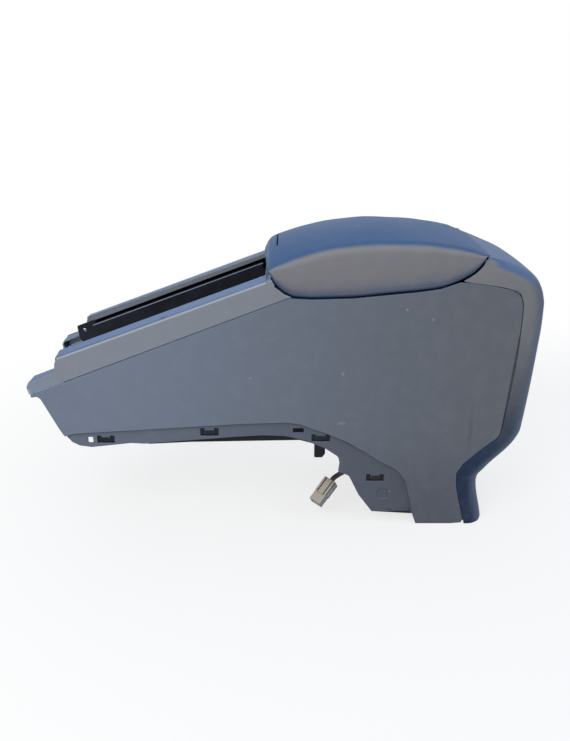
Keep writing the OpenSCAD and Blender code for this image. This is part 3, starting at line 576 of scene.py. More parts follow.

# Each Moulding's rear, top, low, rear-facing, front-facing and recess colours and its ridge band are painted
# light and shade.
FINISHES = {
    Slot.PANEL: Moulding(
        srgb(103, 113, 130), srgb(87, 91, 99), srgb(92, 110, 138), painted_low_light=srgb(78, 83, 94),
        recess=(0.1036, 0.1014), rubs=PANEL_RUBS, nicks_and_shade_lines=PANEL_NICKS_AND_BEND_SHADE),
    # Trim: its low colour is painted sky light on the nose, and its ridge a painted highlight on the rails'
    # rounded top edges.
    Slot.TRIM: Moulding(
        srgb(118, 124, 134), srgb(112, 115, 121), srgb(84, 108, 146), painted_low_light=srgb(116, 130, 150),
        sink=(0.225, 0.2), turn=(0.45, 0.9), ridge_highlight=0.55, rubs=TRIM_RUBS, nicks_and_shade_lines=TRIM_NICKS),
    # Cover: its deep navy low colour is painted shade at its foot.
    Slot.COVER: Moulding(
        srgb(110, 110, 113), srgb(104, 106, 110), srgb(64, 90, 130), painted_low_light=srgb(16, 35, 62),
        run=(0.0, 0.1), sink=(0.34, 0.08), turn=(0.3, 0.8)),
    # Lid: its front-facing blue is painted sky light, and its ridge a painted highlight along the crease.
    Slot.LID: Moulding(
        srgb(113, 112, 116), srgb(107, 107, 112), srgb(48, 79, 121), painted_ahead_light=srgb(62, 88, 124),
        sink=(0.1, 0.0), aft_shade_span=(0.6, 1.0), turn=(0.4, 0.9), under_shade_span=(0.02, -0.28), ridge_highlight=0.13, rubs=LID_RUBS,
        roughness=0.6, grain=2200, grain_depth=0.00003),
    Slot.INNER: Finish(srgb(12, 15, 24), srgb(24, 30, 44), 0.55, specular=0.22),
    Slot.RUBBER: Finish(srgb(18, 19, 22), srgb(34, 36, 40), 0.75, relief=900),
    Slot.STEEL: Finish(srgb(15, 17, 23), srgb(27, 29, 36), 0.42, relief=700, specular=0.25),
    Slot.ZINC: Finish(srgb(128, 133, 142), srgb(92, 94, 98), 0.45, 0.8, 1500, 0.00002),
    Slot.SOCKET: Finish(srgb(150, 152, 158), srgb(96, 98, 104), 0.3, 0.85, brushed=(6, 1, 1)),
    Slot.CABLE: Jacket(srgb(24, 25, 29)),
    # Connector: its paler top, darker underside and rear-facing grey are painted light and shade.
    Slot.NYLON: Moulding(
        srgb(128, 129, 134), srgb(124, 126, 132), srgb(170, 162, 149), srgb(104, 107, 114),
        srgb(136, 136, 138), srgb(118, 121, 128), pale=srgb(206, 202, 192), dark=srgb(96, 82, 62),
        turn=(0.2, 0.75), roughness=0.42, grain=900, grain_depth=0.00002),
    Slot.BRASS: Finish(srgb(196, 164, 92), srgb(140, 112, 62), 0.35, 0.9),
}
TAPE = Jacket(srgb(30, 31, 35), 0.0055)


def placed(name: str, data: bpy.types.ID) -> Piece:
    """Puts a new object into the scene.

    Args:
        name: Name of the object.
        data: Its mesh, curve, lamp or camera.

    Returns:
        The object.
    """
    thing = bpy.data.objects.new(name, data)
    bpy.context.scene.collection.objects.link(thing)
    return thing


def meshed(bm: Form, name: str) -> bpy.types.Mesh:
    """Finishes a mesh under construction.

    Args:
        bm: The mesh under construction. It is used up.
        name: Name of the mesh.

    Returns:
        The mesh.
    """
    mesh = bpy.data.meshes.new(name)
    bm.to_mesh(mesh)
    bm.free()
    return mesh


def rounded(bm: Form, edges: Sequence[bmesh.types.BMEdge], width: float, segments: int = 2) -> None:
    """Rounds edges of a mesh under construction by a width in millimetres."""
    bmesh.ops.bevel(bm, geom=edges, offset=width, offset_type="OFFSET", segments=segments, profile=0.5,
                    affect="EDGES", material=-1)


def rims(bm: Form) -> list[bmesh.types.BMEdge]:
    """Edges of a round bar's ends, which are the only ones that turn by more than a radian."""
    return [edge for edge in bm.edges if edge.calc_face_angle() > 1]


def smoothed(bm: Form, points: Sequence[bmesh.types.BMVert], along: bool) -> None:
    """Moves points halfway to the middle of their neighbours, and along X too if asked."""
    bmesh.ops.smooth_vert(bm, verts=points, factor=0.5, use_axis_x=along, use_axis_y=True, use_axis_z=True)


def turned_out(bm: Form, axis: int) -> None:
    """Turns an open sheet's faces outwards.

    Args:
        bm: The sheet.
        axis: Number of the axis along which its furthest face has to look.
    """
    bmesh.ops.recalc_face_normals(bm, faces=bm.faces)
    furthest = max(bm.faces, key=lambda face: face.calc_center_median()[axis])
    if furthest.normal[axis] < 0:
        bmesh.ops.reverse_faces(bm, faces=bm.faces)


class Workshop:
    """Makes objects from meshes and dresses them.

    CAD points nearer than merge, in millimetres, become one, and angles are in degrees.
    """

    merge: float = 0.002
    flat_angle: float = 1.0
    edge_angle: float = 40.0

    def __init__(self) -> None:
        """Builds every finish once and gives each CAD node its own."""
        self.materials = {slot: finish.build(slot.value) for slot, finish in FINISHES.items()}
        self.node_slots = {row["node"]: Slot(row["material_slot"]) for row in frame["record"]["subparts"]}
        for node, piece in frame["nodes"].items():
            self.dress(piece, self.materials[self.node_slots[node]])

    @staticmethod
    def dress(piece: Piece, material: bpy.types.Material) -> None:
        """Gives a piece one material."""
        if not piece.material_slots:
            piece.data.materials.append(material)
        for slot in piece.material_slots:
            slot.material = material

    def finished(self, bm: Form, name: str, slot: Slot, body: str = "root",
                 sharp: float = 35) -> Piece:
        """Makes a piece from a mesh under construction.

        Args:
            bm: The mesh, in millimetres in the part's frame. It is used up.
            name: Name of the piece.
            slot: Material slot of its finish.
            body: Body that it rides on.
            sharp: Angle in degrees past which an edge stays sharp.

        Returns:
            The new object, dressed and riding.
        """
        bmesh.ops.scale(bm, vec=(MM, MM, MM), verts=bm.verts)
        mesh = meshed(bm, name)
        for stale in ("custom_normal", "sharp_face"):
            if stale in mesh.attributes:
                mesh.attributes.remove(mesh.attributes[stale])
        mesh.shade_smooth()
        mesh.set_sharp_from_angle(angle=math.radians(sharp))
        piece = placed(name, mesh)
        self.dress(piece, self.materials[slot])
        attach(piece, body)
        LOG.info("%s: %d faces", name, len(mesh.polygons))
        return piece

    def softened(self, node: str, width: float = 0.7, body: str = "root") -> Piece:
        """Copies a CAD node with its edges rounded, and lets the copy stand for it.

        Args:
            node: The node.
            width: Width of the rounding, in millimetres, or 0 for none.
            body: Body that the node rides on.

        Returns:
            The new piece.
        """
        bm = bmesh.new()
        bm.from_mesh(frame["nodes"][node].data)
        bmesh.ops.scale(bm, vec=(1 / MM, 1 / MM, 1 / MM), verts=bm.verts)
        bmesh.ops.remove_doubles(bm, verts=bm.verts, dist=self.merge)
        flat = math.radians(self.flat_angle)
        bmesh.ops.dissolve_limit(bm, angle_limit=flat, verts=bm.verts, edges=bm.edges)
        piece = self.finished(bm, f"{node}_moulded", self.node_slots[node], body)
        if width:
            settled(piece.modifiers.new("soft edges", "BEVEL"), width=width * MM, segments=2,
                    limit_method="ANGLE", angle_limit=math.radians(self.edge_angle),
                    use_clamp_overlap=False, harden_normals=False)
            settled(piece.modifiers.new("even normals", "WEIGHTED_NORMAL"), keep_sharp=True)
        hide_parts(node)
        return piece


def sheet(columns: int, rows: int, place: Callable[[int, int], Point]) -> Form:
    """Grid whose points are moved to a surface.

    Args:
        columns: Points across.
        rows: Points along.
        place: Gives the point of a column and a row.

    Returns:
        The mesh under construction.
    """
    bm = bmesh.new()
    bmesh.ops.create_grid(bm, x_segments=columns - 1, y_segments=rows - 1, size=1)
    for vert in bm.verts:
        column = round((vert.co.x + 1) / 2 * (columns - 1))
        row = round((vert.co.y + 1) / 2 * (rows - 1))
        vert.co = place(column, row)
    return bm


def spread(start: float, end: float, count: int) -> list[float]:
    """Evenly spaced values from start to end."""
    return [start + (end - start) * i / (count - 1) for i in range(count)]


def thickened(piece: Piece, wall: float, edge: float = 0.0) -> None:
    """Gives a sheet its wall on the inner side, and rounds its rim.

    Args:
        piece: The sheet, its faces looking outwards.
        wall: Thickness of the wall, in millimetres.
        edge: Width of the rim's rounding, in millimetres, or 0 for none.
    """
    settled(piece.modifiers.new("wall", "SOLIDIFY"), thickness=wall * MM, offset=-1)
    if edge:
        settled(piece.modifiers.new("soft rim", "BEVEL"), width=edge * MM, segments=3, limit_method="ANGLE",
                angle_limit=math.radians(50))


@dataclass
class Harness:
    """Cable from the accessory socket, its taped end and its connector.

    Sizes on the connector are its width, depth and length, in that order. Its Z runs back along the
    cable from its face, and its Y out of the broad side that has the catch.
    """

    shop: Workshop
    diameter: float = 6.0
    tape_diameter: float = 7.4
    plug: Span = (18.5, 13.0)
    plug_turn: Point = (52.8, -11.3, 140.1)
    plug_start: float = 0.3
    catch_width: float = 9.25
    catch_rise: float = 2.0
    catch_middle: float = -12.7
    guard_length: float = 24.6
    groove: float = 1.5
    back_rib: Point = (1.3, 1.6, 32.0)
    back_rib_place: Span = (0.36, -22.0)
    shoulder: Point = (1.7, 7.6, 23.0)
    shoulder_sink: float = 0.2
    shoulder_back: float = -1.2
    thumb_ridge: Point = (2.2, 1.0, 12.0)
    thumb_ridge_place: float = -8.0
    slot: Point = (1.4, 0.7, 24.0)
    slot_rise: float = 0.3
    mouth: Point = (15.1, 9.6, 2.0)
    mouth_place: float = -22.4
    grommet_radii: Span = (4.8, 4.0)
    grommet_height: float = 1.6
    grommet_place: float = 0.7
    route: tuple[Point, ...] = (
        (14, 0, 262), (21, 0, 262), (28, -2, 260), (34, -6, 255), (37, -12, 246), (37, -20, 233),
        (35, -28, 217), (30, -36, 200), (22, -43, 184), (11, -50, 169), (-3, -56, 157), (-18, -60, 150),
        (-34, -62, 147), (-52, -62, 147), (-64, -62, 144), (-76, -62, 139), (-90, -62, 131), (-102, -62, 121),
        (-112, -62, 110), (-120, -62, 98), (-126, -62, 88), (-131, -62.5, 79), (-136.5, -63, 71.5),
        (-143, -64, 66), (-149.5, -65, 62.5))
    tape_route: tuple[Point, ...] = (
        (-149.5, -65, 62.5), (-154.7, -65.8, 59.7), (-159.2, -67.6, 57.6), (-163.2, -70, 55.7),
        (-166.6, -73, 52.3))

    def build(self) -> None:
        tape = self._tube("harness_tape", self.tape_route, self.tape_diameter, TAPE.build("cable_tape"))
        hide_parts("harness_sleeve")
        connector = self.shop.softened("harness_connector", 0.5)
        details = [self._ribs(), self._groove_shade(), self._collar()]
        cable = self._tube("harness_cable_run", self.route, self.diameter, self.shop.materials[Slot.CABLE])
        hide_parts("harness_cable")
        start = Vector(self.route[0]) * MM
        self._length()
        LOG.info("cable: %.3f m", self._length())

    def _length(self) -> float:
        """Length of the cable's route, in metres."""
        return sum((Vector(b) - Vector(a)).length for a, b in zip(self.route, self.route[1:])) * MM

    def _tube(self, name: str, route: Sequence[Point], diameter: float,
              material: bpy.types.Material) -> Piece:
        """Makes a round curve along a route.

        Args:
            name: Name of the piece.
            route: Points in millimetres.
            diameter: Diameter in millimetres.
            material: Its finish.

        Returns:
            The curve, riding on the console.
        """
        curve = bpy.data.curves.new(name, "CURVE")
        settled(curve, dimensions="3D", bevel_depth=diameter / 2 * MM, bevel_resolution=5, resolution_u=6,
                use_fill_caps=True)
        spline = curve.splines.new("BEZIER")
        spline.bezier_points.add(len(route) - 1)
        for point, at in zip(spline.bezier_points, route):
            point.co = Vector(at) * MM
            point.handle_left_type = point.handle_right_type = "AUTO"
        piece = placed(name, curve)
        self.shop.dress(piece, material)
        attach(piece, "root")
        return piece

    def _at_plug(self) -> Matrix:
        """Place of the connector."""
        turn = Euler([math.radians(angle) for angle in self.plug_turn], "XYZ").to_matrix().to_4x4()
        return Matrix.Translation(self.tape_route[-1]) @ turn @ Matrix.Translation((0, 0, -self.plug_start))

    def _ribs(self) -> Piece:
        """Makes the guards beside the catch, ribs on the back and a shoulder on each narrow side.

        Returns:
            The piece.
        """
        width, depth = self.plug
        guard = (width - self.catch_width) / 2 - self.groove
        rib_out, rib_along = self.back_rib_place
        bm = bmesh.new()
        for side in (-1, 1):
            self._block(bm, (side * (width - guard) / 2, (depth + self.catch_rise) / 2, self.catch_middle),
                        (guard, self.catch_rise, self.guard_length))
            self._block(bm, (side * rib_out * width, -depth / 2, rib_along), self.back_rib)
            out = (width + self.shoulder[0]) / 2 - self.shoulder_sink
            self._block(bm, (side * out, self.shoulder_back, self.catch_middle), self.shoulder)
        self._block(bm, (0, depth / 2 + self.catch_rise, self.thumb_ridge_place), self.thumb_ridge)
        rounded(bm, bm.edges, 0.35)
        bmesh.ops.transform(bm, matrix=self._at_plug(), verts=bm.verts)
        return self.shop.finished(bm, "connector_ribs", Slot.NYLON, sharp=25)

    def _groove_shade(self) -> Piece:
        """Makes dark rubber blocks as painted shade in the bottoms of the slots beside the catch and in the
        open mouth.

        Returns:
            The piece.
        """
        bm = bmesh.new()
        for side in (-1, 1):
            out = side * (self.catch_width + self.groove) / 2
            self._block(bm, (out, self.plug[1] / 2 + self.slot_rise, self.catch_middle), self.slot)
        self._block(bm, (0, 0, self.mouth_place), self.mouth)
        rounded(bm, bm.edges, 0.12, 1)
        bmesh.ops.transform(bm, matrix=self._at_plug(), verts=bm.verts)
        # Painted shade: dark blocks where the slots and the mouth only lie in shade.
        return self.shop.finished(bm, "connector_groove_shade", Slot.RUBBER)

    def _collar(self) -> Piece:
        """Makes the dark grommet where the wires enter the connector.

        Returns:
            The piece.
        """
        lower, upper = self.grommet_radii
        bm = bmesh.new()
        bmesh.ops.create_cone(bm, cap_ends=True, segments=32, radius1=lower, radius2=upper,
                              depth=self.grommet_height,
                              matrix=self._at_plug() @ Matrix.Translation((0, 0, self.grommet_place)))
        rounded(bm, rims(bm), 0.4)
        return self.shop.finished(bm, "connector_grommet", Slot.RUBBER)

    @staticmethod
    def _block(bm: Form, centre: Point, size: Point) -> None:
        """Adds a box of a size round a centre."""
        bmesh.ops.create_cube(bm, size=1, matrix=Matrix.Translation(centre) @ Matrix.Diagonal((*size, 1)))


@dataclass
class Lid:
    """Armrest lid: soft skin over its carrier, with the pocket of the release lever in its lip.

    The profiles run along X: low and crease bound the flanks, crown is the top of the middle,
    flank draws the flanks in from their lower edge up, and bowing fades the front's bow out.
    """

    shop: Workshop
    half: float = 104.5
    bow: float = 5.0
    front: float = -255.6
    rear: float = 28.4
    lip_end: float = -222.0
    tail_from: float = 11.0
    rows: tuple[int, int, int, int] = (9, 34, 100, 20)
    columns: int = 161
    skin: float = 2.0
    nose: float = 1.2
    nose_height: float = 8.0
    flank_share: float = 0.24
    shoulder: float = 4.5
    crown_power: float = 2.2
    shoulder_from: float = 0.7
    shoulder_passes: int = 34
    ease_depth: float = 22.0
    ease_share: float = 0.6
    ease_ends: Span = (3.0, 6.0)
    ease_lead: float = 1.1
    lever_half: float = 42.2
    slit_rear: float = -244.2
    slit: float = 1.3
    dip: float = 3.0
    dip_length: float = 4.0
    tip_from: float = -4.0
    tip_draw: float = 7.0
    tip_drop: float = 2.5
    low: Profile = Profile([
        (-255.6, 371.2), (-248.7, 358.1), (-233.7, 344.4), (-222, 339.1), (-197.9, 337.5), (-144.3, 339.1),
        (-99.6, 343.6), (-60, 347.5), (-33.3, 351.4), (-7.6, 360.9), (11.1, 373), (19.3, 382),
        (23.6, 388.6), (25.3, 391.8), (28.4, 391.9)])
    crease: Profile = Profile([
        (-255.6, 374), (-251.8, 377.2), (-233.7, 384.4), (-204.3, 394.8), (-175.3, 402.5), (-146, 405.9),
        (-116.8, 408.4), (-62.6, 408.6), (-23.3, 404.6), (3, 400.4), (23, 394.6), (28.4, 393)])
    crown: Profile = Profile([
        (-255.6, 384), (-252, 390), (-246.4, 394), (-232, 400), (-206.5, 408), (-149.2, 418), (-115.5, 420.5),
        (-64.8, 416), (-35.6, 411.5), (-5.2, 405.2), (28.4, 393.6)])
    flank: Profile = Profile([
        (0, 2.5), (0.18, 0.6), (0.4, 0), (0.7, 0.4), (0.9, 1.8), (0.97, 3.2), (1, 4.5)])
    bowing: Profile = Profile([(-255.6, 1), (-233, 0.6), (-190, 0), (-150, 0)])

    def build(self) -> None:
        """Makes the skin and the lever's cap, and softens what hangs on the lid."""
        stations = self._stations()
        bm = sheet(self.columns, len(stations), lambda column, row: self._surface(column, *stations[row]))
        self._ease_shoulders(bm)
        turned_out(bm, 2)
        cap = bm.copy()
        self._cut(bm, self.lever_half, self.slit_rear, keep_lever=False)
        skin = self.shop.finished(bm, "armrest_skin", Slot.LID, "lid", 60)
        thickened(skin, self.skin)
        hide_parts("lid_pad")
        self._lever_cap(cap)
        self.shop.softened("lid_inner", 0.4, "lid")
        self.shop.softened("hinge_arms", 0.4, "lid")
        self.shop.softened("latch_lever", 0.0, "lever")

    def _lever_cap(self, cap: Form) -> None:
        """Makes the skin over the lever, whose rear edge dips so that it clears the lid's.

        Args:
            cap: A copy of the lid's surface. It is used up.
        """
        rear = self.slit_rear - self.slit
        self._cut(cap, self.lever_half - self.slit, rear, keep_lever=True)
        for vert in cap.verts:
            reach = (vert.co.x - rear + self.dip_length) / self.dip_length
            vert.co.z -= self.dip * max(0.0, reach) ** 2
        thickened(self.shop.finished(cap, "lever_cap", Slot.LID, "lever", 60), self.skin, 0.4)

    def _stations(self) -> list[tuple[float, float]]:
        """Places of the skin's rows, from the lip's underside to the rear edge.

        Returns:
            Pairs of X and the turn round the nose.
        """
        nose, lip, middle, tail = self.rows
        along = [*spread(self.front, self.lip_end, lip), *spread(self.lip_end, self.tail_from, middle)[1:],
                 *spread(self.tail_from, self.rear, tail)[1:]]
        rounding = [(self.front, angle) for angle in spread(math.pi, math.pi / nose, nose)]
        return rounding + [(x, 0.0) for x in along]

    def _surface(self, column: int, x: float, turn: float) -> Point:
        """Point of the skin.

        Args:
            column: Column, from the left lower edge over the crown to the right one.
            x: Station along the lid.
            turn: Angle round the nose, 0 on the skin's top and pi under its lip.

        Returns:
            The point in millimetres.
        """
        across = 2 * column / (self.columns - 1) - 1
        share = (1 - abs(across)) / self.flank_share
        low, crease = self.low.at(x), self.crease.at(x)
        if share < 1:
            y = self.half - self.flank.at(share)
            z = low + (crease - low) * share
        else:
            k = abs(across) / (1 - self.flank_share)
            y = k * (self.half - self.shoulder)
            z = crease + (self.crown.at(x) - crease) * (1 - k ** self.crown_power)
        out = self.bow * (1 - (y / self.half) ** 2) * self.bowing.at(x)
        if turn:
            out += self.nose * math.sin(turn) * min(1, (z - low) / self.nose_height)
            z = low + (z - low) * (1 + math.cos(turn)) / 2
        tip = max(0.0, (x - self.tip_from) / (self.rear - self.tip_from))
        y -= self.tip_draw * tip ** 3 * y / self.half
        z -= self.tip_drop * tip ** 2 * (y / self.half) ** 4
        return x - out, math.copysign(y, across), z

    def _ease_shoulders(self, bm: Form) -> None:
        """Rounds the crease between each flank and the crown, less and less towards the front.

        Args:
            bm: The lid's surface.
        """
        near = self.shoulder_from * self.half
        front, rear = self.front + self.ease_ends[0], self.rear - self.ease_ends[1]
        depths = {x: min(self.ease_depth, self.ease_share * (self.crease.at(x) - self.low.at(x)))
                  for x in {vert.co.x for vert in bm.verts}}
        eased = [vert for vert in bm.verts
                 if abs(vert.co.y) > near and vert.co.z > self.crease.at(vert.co.x) - depths[vert.co.x]
                 and not vert.is_boundary and front < vert.co.x < rear]
        for turn in range(self.shoulder_passes):
            reached = [vert for vert in eased if vert.co.x > front + turn * self.ease_lead]
            smoothed(bm, reached, along=False)

    @staticmethod
    def _cut(bm: Form, half: float, rear: float, keep_lever: bool) -> None:
        """Splits the surface round the lever and keeps one side of the cut.

        Args:
            bm: The lid's surface.
            half: Half the width of the lever's zone.
            rear: Its rear edge.
            keep_lever: Whether the lever's zone is kept, and not the rest.
        """
        for at, normal in (((0, -half, 0), (0, 1, 0)), ((0, half, 0), (0, 1, 0)), ((rear, 0, 0), (1, 0, 0))):
            bmesh.ops.bisect_plane(bm, geom=[*bm.verts, *bm.edges, *bm.faces], dist=0.0005, plane_co=at,
                                   plane_no=normal)
        inside = {face: abs(face.calc_center_median().y) < half and face.calc_center_median().x < rear
                  for face in bm.faces}
        gone = [face for face, held in inside.items() if held != keep_lever]
        bmesh.ops.delete(bm, geom=gone, context="FACES")

@dataclass
class RearCover:
    """Cover that wraps round the console's back and closes under the lid's rear edge.

    The profiles run up Z: front and back bound the section in X, and draw pulls its sides in.
    """

    shop: Workshop
    half: float = 105.0
    corner: float = 33.0
    corner_share: float = 0.88
    bow: float = 2.0
    wall: float = 2.4
    rim: float = 0.6
    seam_gap: float = 0.6
    least_depth: float = 0.05
    top: float = 389.6
    closing_rise: float = 0.3
    closing: Span = (0.4, 0.02)
    fine_from: float = 336.0
    fine_rows: int = 40
    row_step: int = 6
    least_step: float = 0.5
    columns: int = 97
    smooth_from: float = 330.0
    top_passes: int = 8
    side_share: float = 0.34
    back_share: float = 0.3
    front: Profile = Profile([
        (0, 24.2), (6.8, 22.6), (43.6, 13.3), (61.2, 9.6), (81.5, 8.5), (96.7, 17.2), (117.7, 38.7),
        (137.5, 61.8), (142.2, 63.9), (149.1, 65.1), (294.2, 77.1), (321.6, 77.2), (328.6, 76.6),
        (337.7, 74), (344.7, 69.2), (348.7, 60), (353.8, 37), (358.1, 3), (360, -3.6), (363, 1),
        (371, 12.4), (381, 21.7), (388, 26.3), (389.6, 27)])
    back: Profile = Profile([
        (0, 51.5), (3, 52.7), (10, 51.5), (56, 42.8), (62, 42.6), (71, 46), (82, 55), (90, 61.5), (118, 87.5),
        (128, 94.5), (139, 99), (146, 99.8), (190, 104), (260, 109.2), (300, 111.8), (320, 111.8),
        (338, 109.2), (352, 103.6), (363, 94), (372, 79), (381, 58), (389.6, 33)])
    draw: Profile = Profile([
        (0, 0), (350, 0), (366, 0.6), (378, 2), (385, 4), (389.6, 7)])

    def build(self) -> None:
        """Makes the cover."""
        rows = self._rows()
        bm = sheet(self.columns, len(rows), lambda column, row: self._surface(column, *rows[row]))
        bmesh.ops.remove_doubles(bm, verts=bm.verts, dist=0.02)
        turned_out(bm, 0)
        for _ in range(self.top_passes):
            high = [vert for vert in bm.verts if vert.co.z > self.smooth_from and not vert.is_boundary]
            smoothed(bm, high, along=True)
        cover = self.shop.finished(bm, "rear_cover_shell", Slot.COVER, sharp=60)
        thickened(cover, self.wall, self.rim)
        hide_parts("rear_cover")

    def _rows(self) -> list[tuple[float, float]]:
        """Heights of the rows.

        Returns:
            Pairs of a height and the share of the section's depth that is kept there.
        """
        heights = {*self.front.places, *self.back.places, *spread(self.fine_from, self.top, self.fine_rows)}
        heights |= {float(z) for z in range(self.row_step + 2, int(self.fine_from), self.row_step)}
        kept: list[float] = []
        for z in sorted(heights):
            if not kept or z - kept[-1] > self.least_step or z == self.top:
                kept.append(z)
        return [(z, 1.0) for z in kept] + [(self.top + self.closing_rise, share) for share in self.closing]

    def _surface(self, column: int, z: float, share: float) -> Point:
        """Point of the cover.

        Args:
            column: Column, from the left front edge round the back to the right one.
            z: Height.
            share: Share of the section's depth, for the rows that close the top.

        Returns:
            The point in millimetres.
        """
        across = 2 * column / (self.columns - 1) - 1
        front = self.front.at(z) + self.seam_gap / 2
        back = max(front + (self.back.at(z) - front) * share, front + self.least_depth)
        half = self.half - self.draw.at(z)
        radius = min(self.corner, self.corner_share * (back - front))
        part = abs(across)
        if part > 1 - self.side_share:
            t = (part - 1 + self.side_share) / self.side_share
            x, y = back - radius + (front - back + radius) * t, half
        elif part > self.back_share:
            angle = (part - self.back_share) / (1 - self.side_share - self.back_share) * math.pi / 2
            x, y = back - radius + radius * math.cos(angle), half - radius + radius * math.sin(angle)
        else:
            t = part / self.back_share
            x, y = back + self.bow * (1 - t * t), (half - radius) * t
        return x, math.copysign(y, across), z


@dataclass
class Mouldings:
    """Side panels, trim and the dark pieces inside, with their edges rounded.

    The ledge's two ends and the outline of the rails' run-out are points in X and Z.
    """

    shop: Workshop
    edges: tuple[tuple[str, float], ...] = (
        ("side_panel_left", 0.6), ("side_panel_right", 0.6), ("upper_trim", 0.5), ("tray_carrier", 0.4),
        ("storage_bin", 0.5), ("floor_bracket", 0.4), ("hinge_bracket", 0.4), ("socket_bezel", 0.3),
        ("cable_clip", 0.3))
    ledge: float = 67.0
    ledge_front: Span = (-532.0, 247.2)
    ledge_rear: Span = (-268.0, 345.1)
    bead: float = 0.9
    bead_rise: float = 0.2
    rail_outer: float = 104.85
    rail_inner: float = 77.5
    rail_edge: float = 4.0
    rail_end: tuple[Span, ...] = (
        (-259.5, 353), (-259.5, 359.6), (-256.9, 361.2), (-253.3, 362.4), (-250.5, 357.2), (-248.6, 354),
        (-250.5, 352.8))

    def build(self) -> None:
        """Makes a softened copy of each piece, the pale beads inside that paint a highlight along the ledges,
        and the rails' run-out under the lid.
        """
        for node, width in self.edges:
            self.shop.softened(node, width)
        self._highlight_beads()
        self._rail_ends()

    def _rail_ends(self) -> None:
        """Run-out of both rails up to the lid's lower edge."""
        bm = bmesh.new()
        outline = bm.faces.new([bm.verts.new((x, -self.rail_outer, z)) for x, z in self.rail_end])
        grown = bmesh.ops.extrude_face_region(bm, geom=[outline], use_keep_orig=True)["geom"]
        inner = [item for item in grown if isinstance(item, bmesh.types.BMVert)]
        bmesh.ops.translate(bm, vec=(0, self.rail_outer - self.rail_inner, 0), verts=inner)
        top = max(z for _, z in self.rail_end) - self.rail_edge / 2
        crest = [edge for edge in bm.edges
                 if all(vert not in inner and vert.co.z > top for vert in edge.verts)]
        rounded(bm, crest, self.rail_edge, 5)
        bmesh.ops.mirror(bm, geom=[*bm.verts, *bm.edges, *bm.faces], axis="Y", merge_dist=-1)
        bmesh.ops.recalc_face_normals(bm, faces=bm.faces)
        self.shop.finished(bm, "rail_ends", Slot.TRIM)

    def _highlight_beads(self) -> None:
        """Rounded bead along the inner edge of each of the carrier's ledges, shaped as the ledge's lip, with
        the pale trim finish in place of the carrier's black as a painted highlight.
        """
        front, rear = (Vector((x, 0, z)) for x, z in (self.ledge_front, self.ledge_rear))
        turn = (rear - front).to_track_quat("Z", "Y").to_matrix().to_4x4()
        bm = bmesh.new()
        for side in (-self.ledge, self.ledge):
            place = Matrix.Translation((front + rear) / 2 + Vector((0, side, self.bead_rise))) @ turn
            bmesh.ops.create_cone(bm, cap_ends=True, segments=16, radius1=self.bead, radius2=self.bead,
                                  depth=(rear - front).length, matrix=place)
        rounded(bm, rims(bm), 0.3)
        # Painted highlight: the pale trim finish on the dark carrier's ledge edge.
        self.shop.finished(bm, "ledge_highlight_beads", Slot.TRIM)


@dataclass(frozen=True)
class Lamp:
    """Square lamp that faces the console."""

    name: str
    at: Point
    size: float
    power: float
    colour: Colour
    aim: Point = (-0.2, 0, 0.2)

    def build(self) -> None:
        """Adds the lamp."""
        data = bpy.data.lights.new(self.name, "AREA")
        settled(data, size=self.size, energy=self.power, color=self.colour)
        turn = (Vector(self.aim) - Vector(self.at)).to_track_quat("-Z", "Y").to_euler()
        settled(placed(self.name, data), location=self.at, rotation_euler=turn)


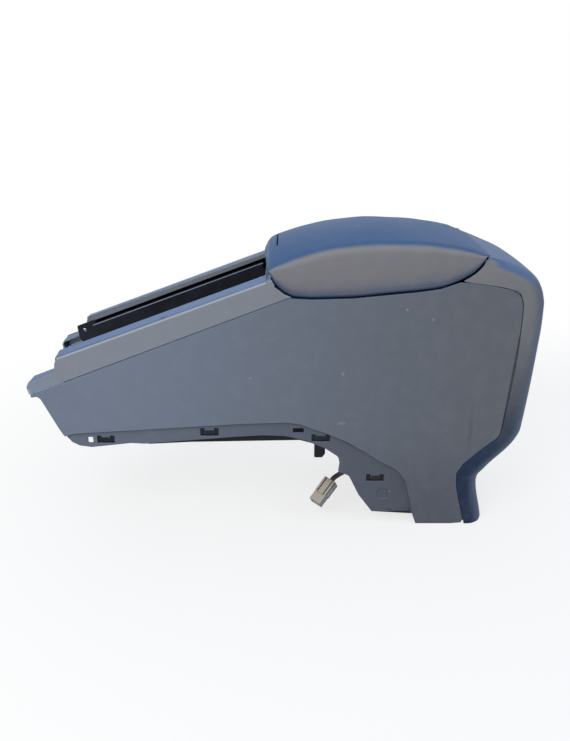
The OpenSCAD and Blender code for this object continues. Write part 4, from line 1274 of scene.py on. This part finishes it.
@dataclass
class Studio:
    """Camera at the photograph's place, soft lamps, floor and background."""

    camera_at: Point = (-0.235, -1.0885, 0.6048)
    look_down: float = 20.5
    lens: float = 49.27
    sensor: float = 36.0
    far_clip: float = 60.0
    white: Colour = (1.0, 1.0, 1.0)
    air: Colour = (0.92, 0.96, 1.0)
    air_strength: float = 0.5
    paper: Colour = (0.8, 0.81, 0.83)
    floor_size: float = 14.0
    floor_light: float = 0.74
    fade: Span = (0.45, 1.1)
    lamps: tuple[Lamp, ...] = (
        Lamp("key_light", (-1.1, -1.7, 1.5), 1.5, 30, (1.0, 0.98, 0.96)),
        Lamp("sky_light", (-0.2, 0.5, 2.1), 2.4, 10, (0.86, 0.93, 1.0)),
        Lamp("rear_light", (1.5, -0.8, 1.3), 1.0, 9, (0.92, 0.96, 1.0)),
        Lamp("far_light", (-0.5, 1.8, 1.2), 1.5, 2.8, (0.94, 0.97, 1.0)))

    def build_camera(self) -> None:
        """Places the camera."""
        data = bpy.data.cameras.new("camera")
        settled(data, sensor_fit="HORIZONTAL", sensor_width=self.sensor, lens=self.lens,
                clip_end=self.far_clip)
        camera = placed("camera", data)
        settled(camera, location=self.camera_at, rotation_euler=(math.radians(90 - self.look_down), 0, 0))
        bpy.context.scene.camera = camera

    def build(self) -> None:
        """Makes the lamps, the world and the floor."""
        bpy.context.scene.view_settings.view_transform = "Standard"
        for lamp in self.lamps:
            lamp.build()
        self._world()
        self._floor()

    def _world(self) -> None:
        """Lights the console with plain air and shows white behind it."""
        world = bpy.data.worlds.new("air")
        nodes = Nodes(world)
        lit = nodes.node("ShaderNodeBackground", None, {"Color": self.air, "Strength": self.air_strength})
        shown = nodes.node("ShaderNodeBackground", None, {"Color": self.white, "Strength": 1.0})
        surface = self._mixed(nodes, lit, shown, 1.0)
        nodes.node("ShaderNodeOutputWorld", None, {"Surface": surface})
        bpy.context.scene.world = world

    def _floor(self) -> None:
        """Adds the pale floor, white to the camera but for the console's shadow."""
        bm = bmesh.new()
        bmesh.ops.create_grid(bm, x_segments=8, y_segments=8, size=self.floor_size / 2)
        floor = placed("floor", meshed(bm, "floor"))
        material = bpy.data.materials.new("floor_paper")
        nodes = Nodes(material)
        lit = nodes.node("ShaderNodeBsdfDiffuse", None, {"Color": self.paper})
        shown = nodes.node("ShaderNodeEmission", None, {"Color": self.white, "Strength": 1.0})
        place = nodes.node("ShaderNodeTexCoord", output="Object")
        reach = nodes.node("ShaderNodeVectorMath", {"operation": "LENGTH"}, {0: place}, "Value")
        whiteness = reach.step(*self.fade) * (1 - self.floor_light) + self.floor_light
        surface = self._mixed(nodes, lit, shown, whiteness)
        nodes.node("ShaderNodeOutputMaterial", None, {"Surface": surface})
        floor.data.materials.append(material)

    @staticmethod
    def _mixed(nodes: Nodes, lit: Link, shown: Link, share: Link | float) -> Link:
        """Shows one shader to the camera and to glossy and clear surfaces, and the other to light.

        Args:
            nodes: The node tree.
            lit: Shader that light sees.
            shown: Shader that the camera sees.
            share: How much of it the camera sees, from 0 to 1.

        Returns:
            The mixed shader.
        """
        camera, glossy, clear = (nodes.node("ShaderNodeLightPath", output=f"Is {ray} Ray")
                                 for ray in ("Camera", "Glossy", "Transmission"))
        seen = camera.larger(glossy).larger(clear) * share
        return nodes.node("ShaderNodeMixShader", None, {0: seen, 1: lit, 2: shown})


def main() -> None:
    """Builds the scene in order."""
    logging.basicConfig(level=logging.INFO, format="%(message)s")
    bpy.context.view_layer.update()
    studio = Studio()
    studio.build_camera()
    shop = Workshop()
    Harness(shop).build()
    Lid(shop).build()
    RearCover(shop).build()
    Mouldings(shop).build()
    studio.build()


if __name__ == "__main__":
    main()
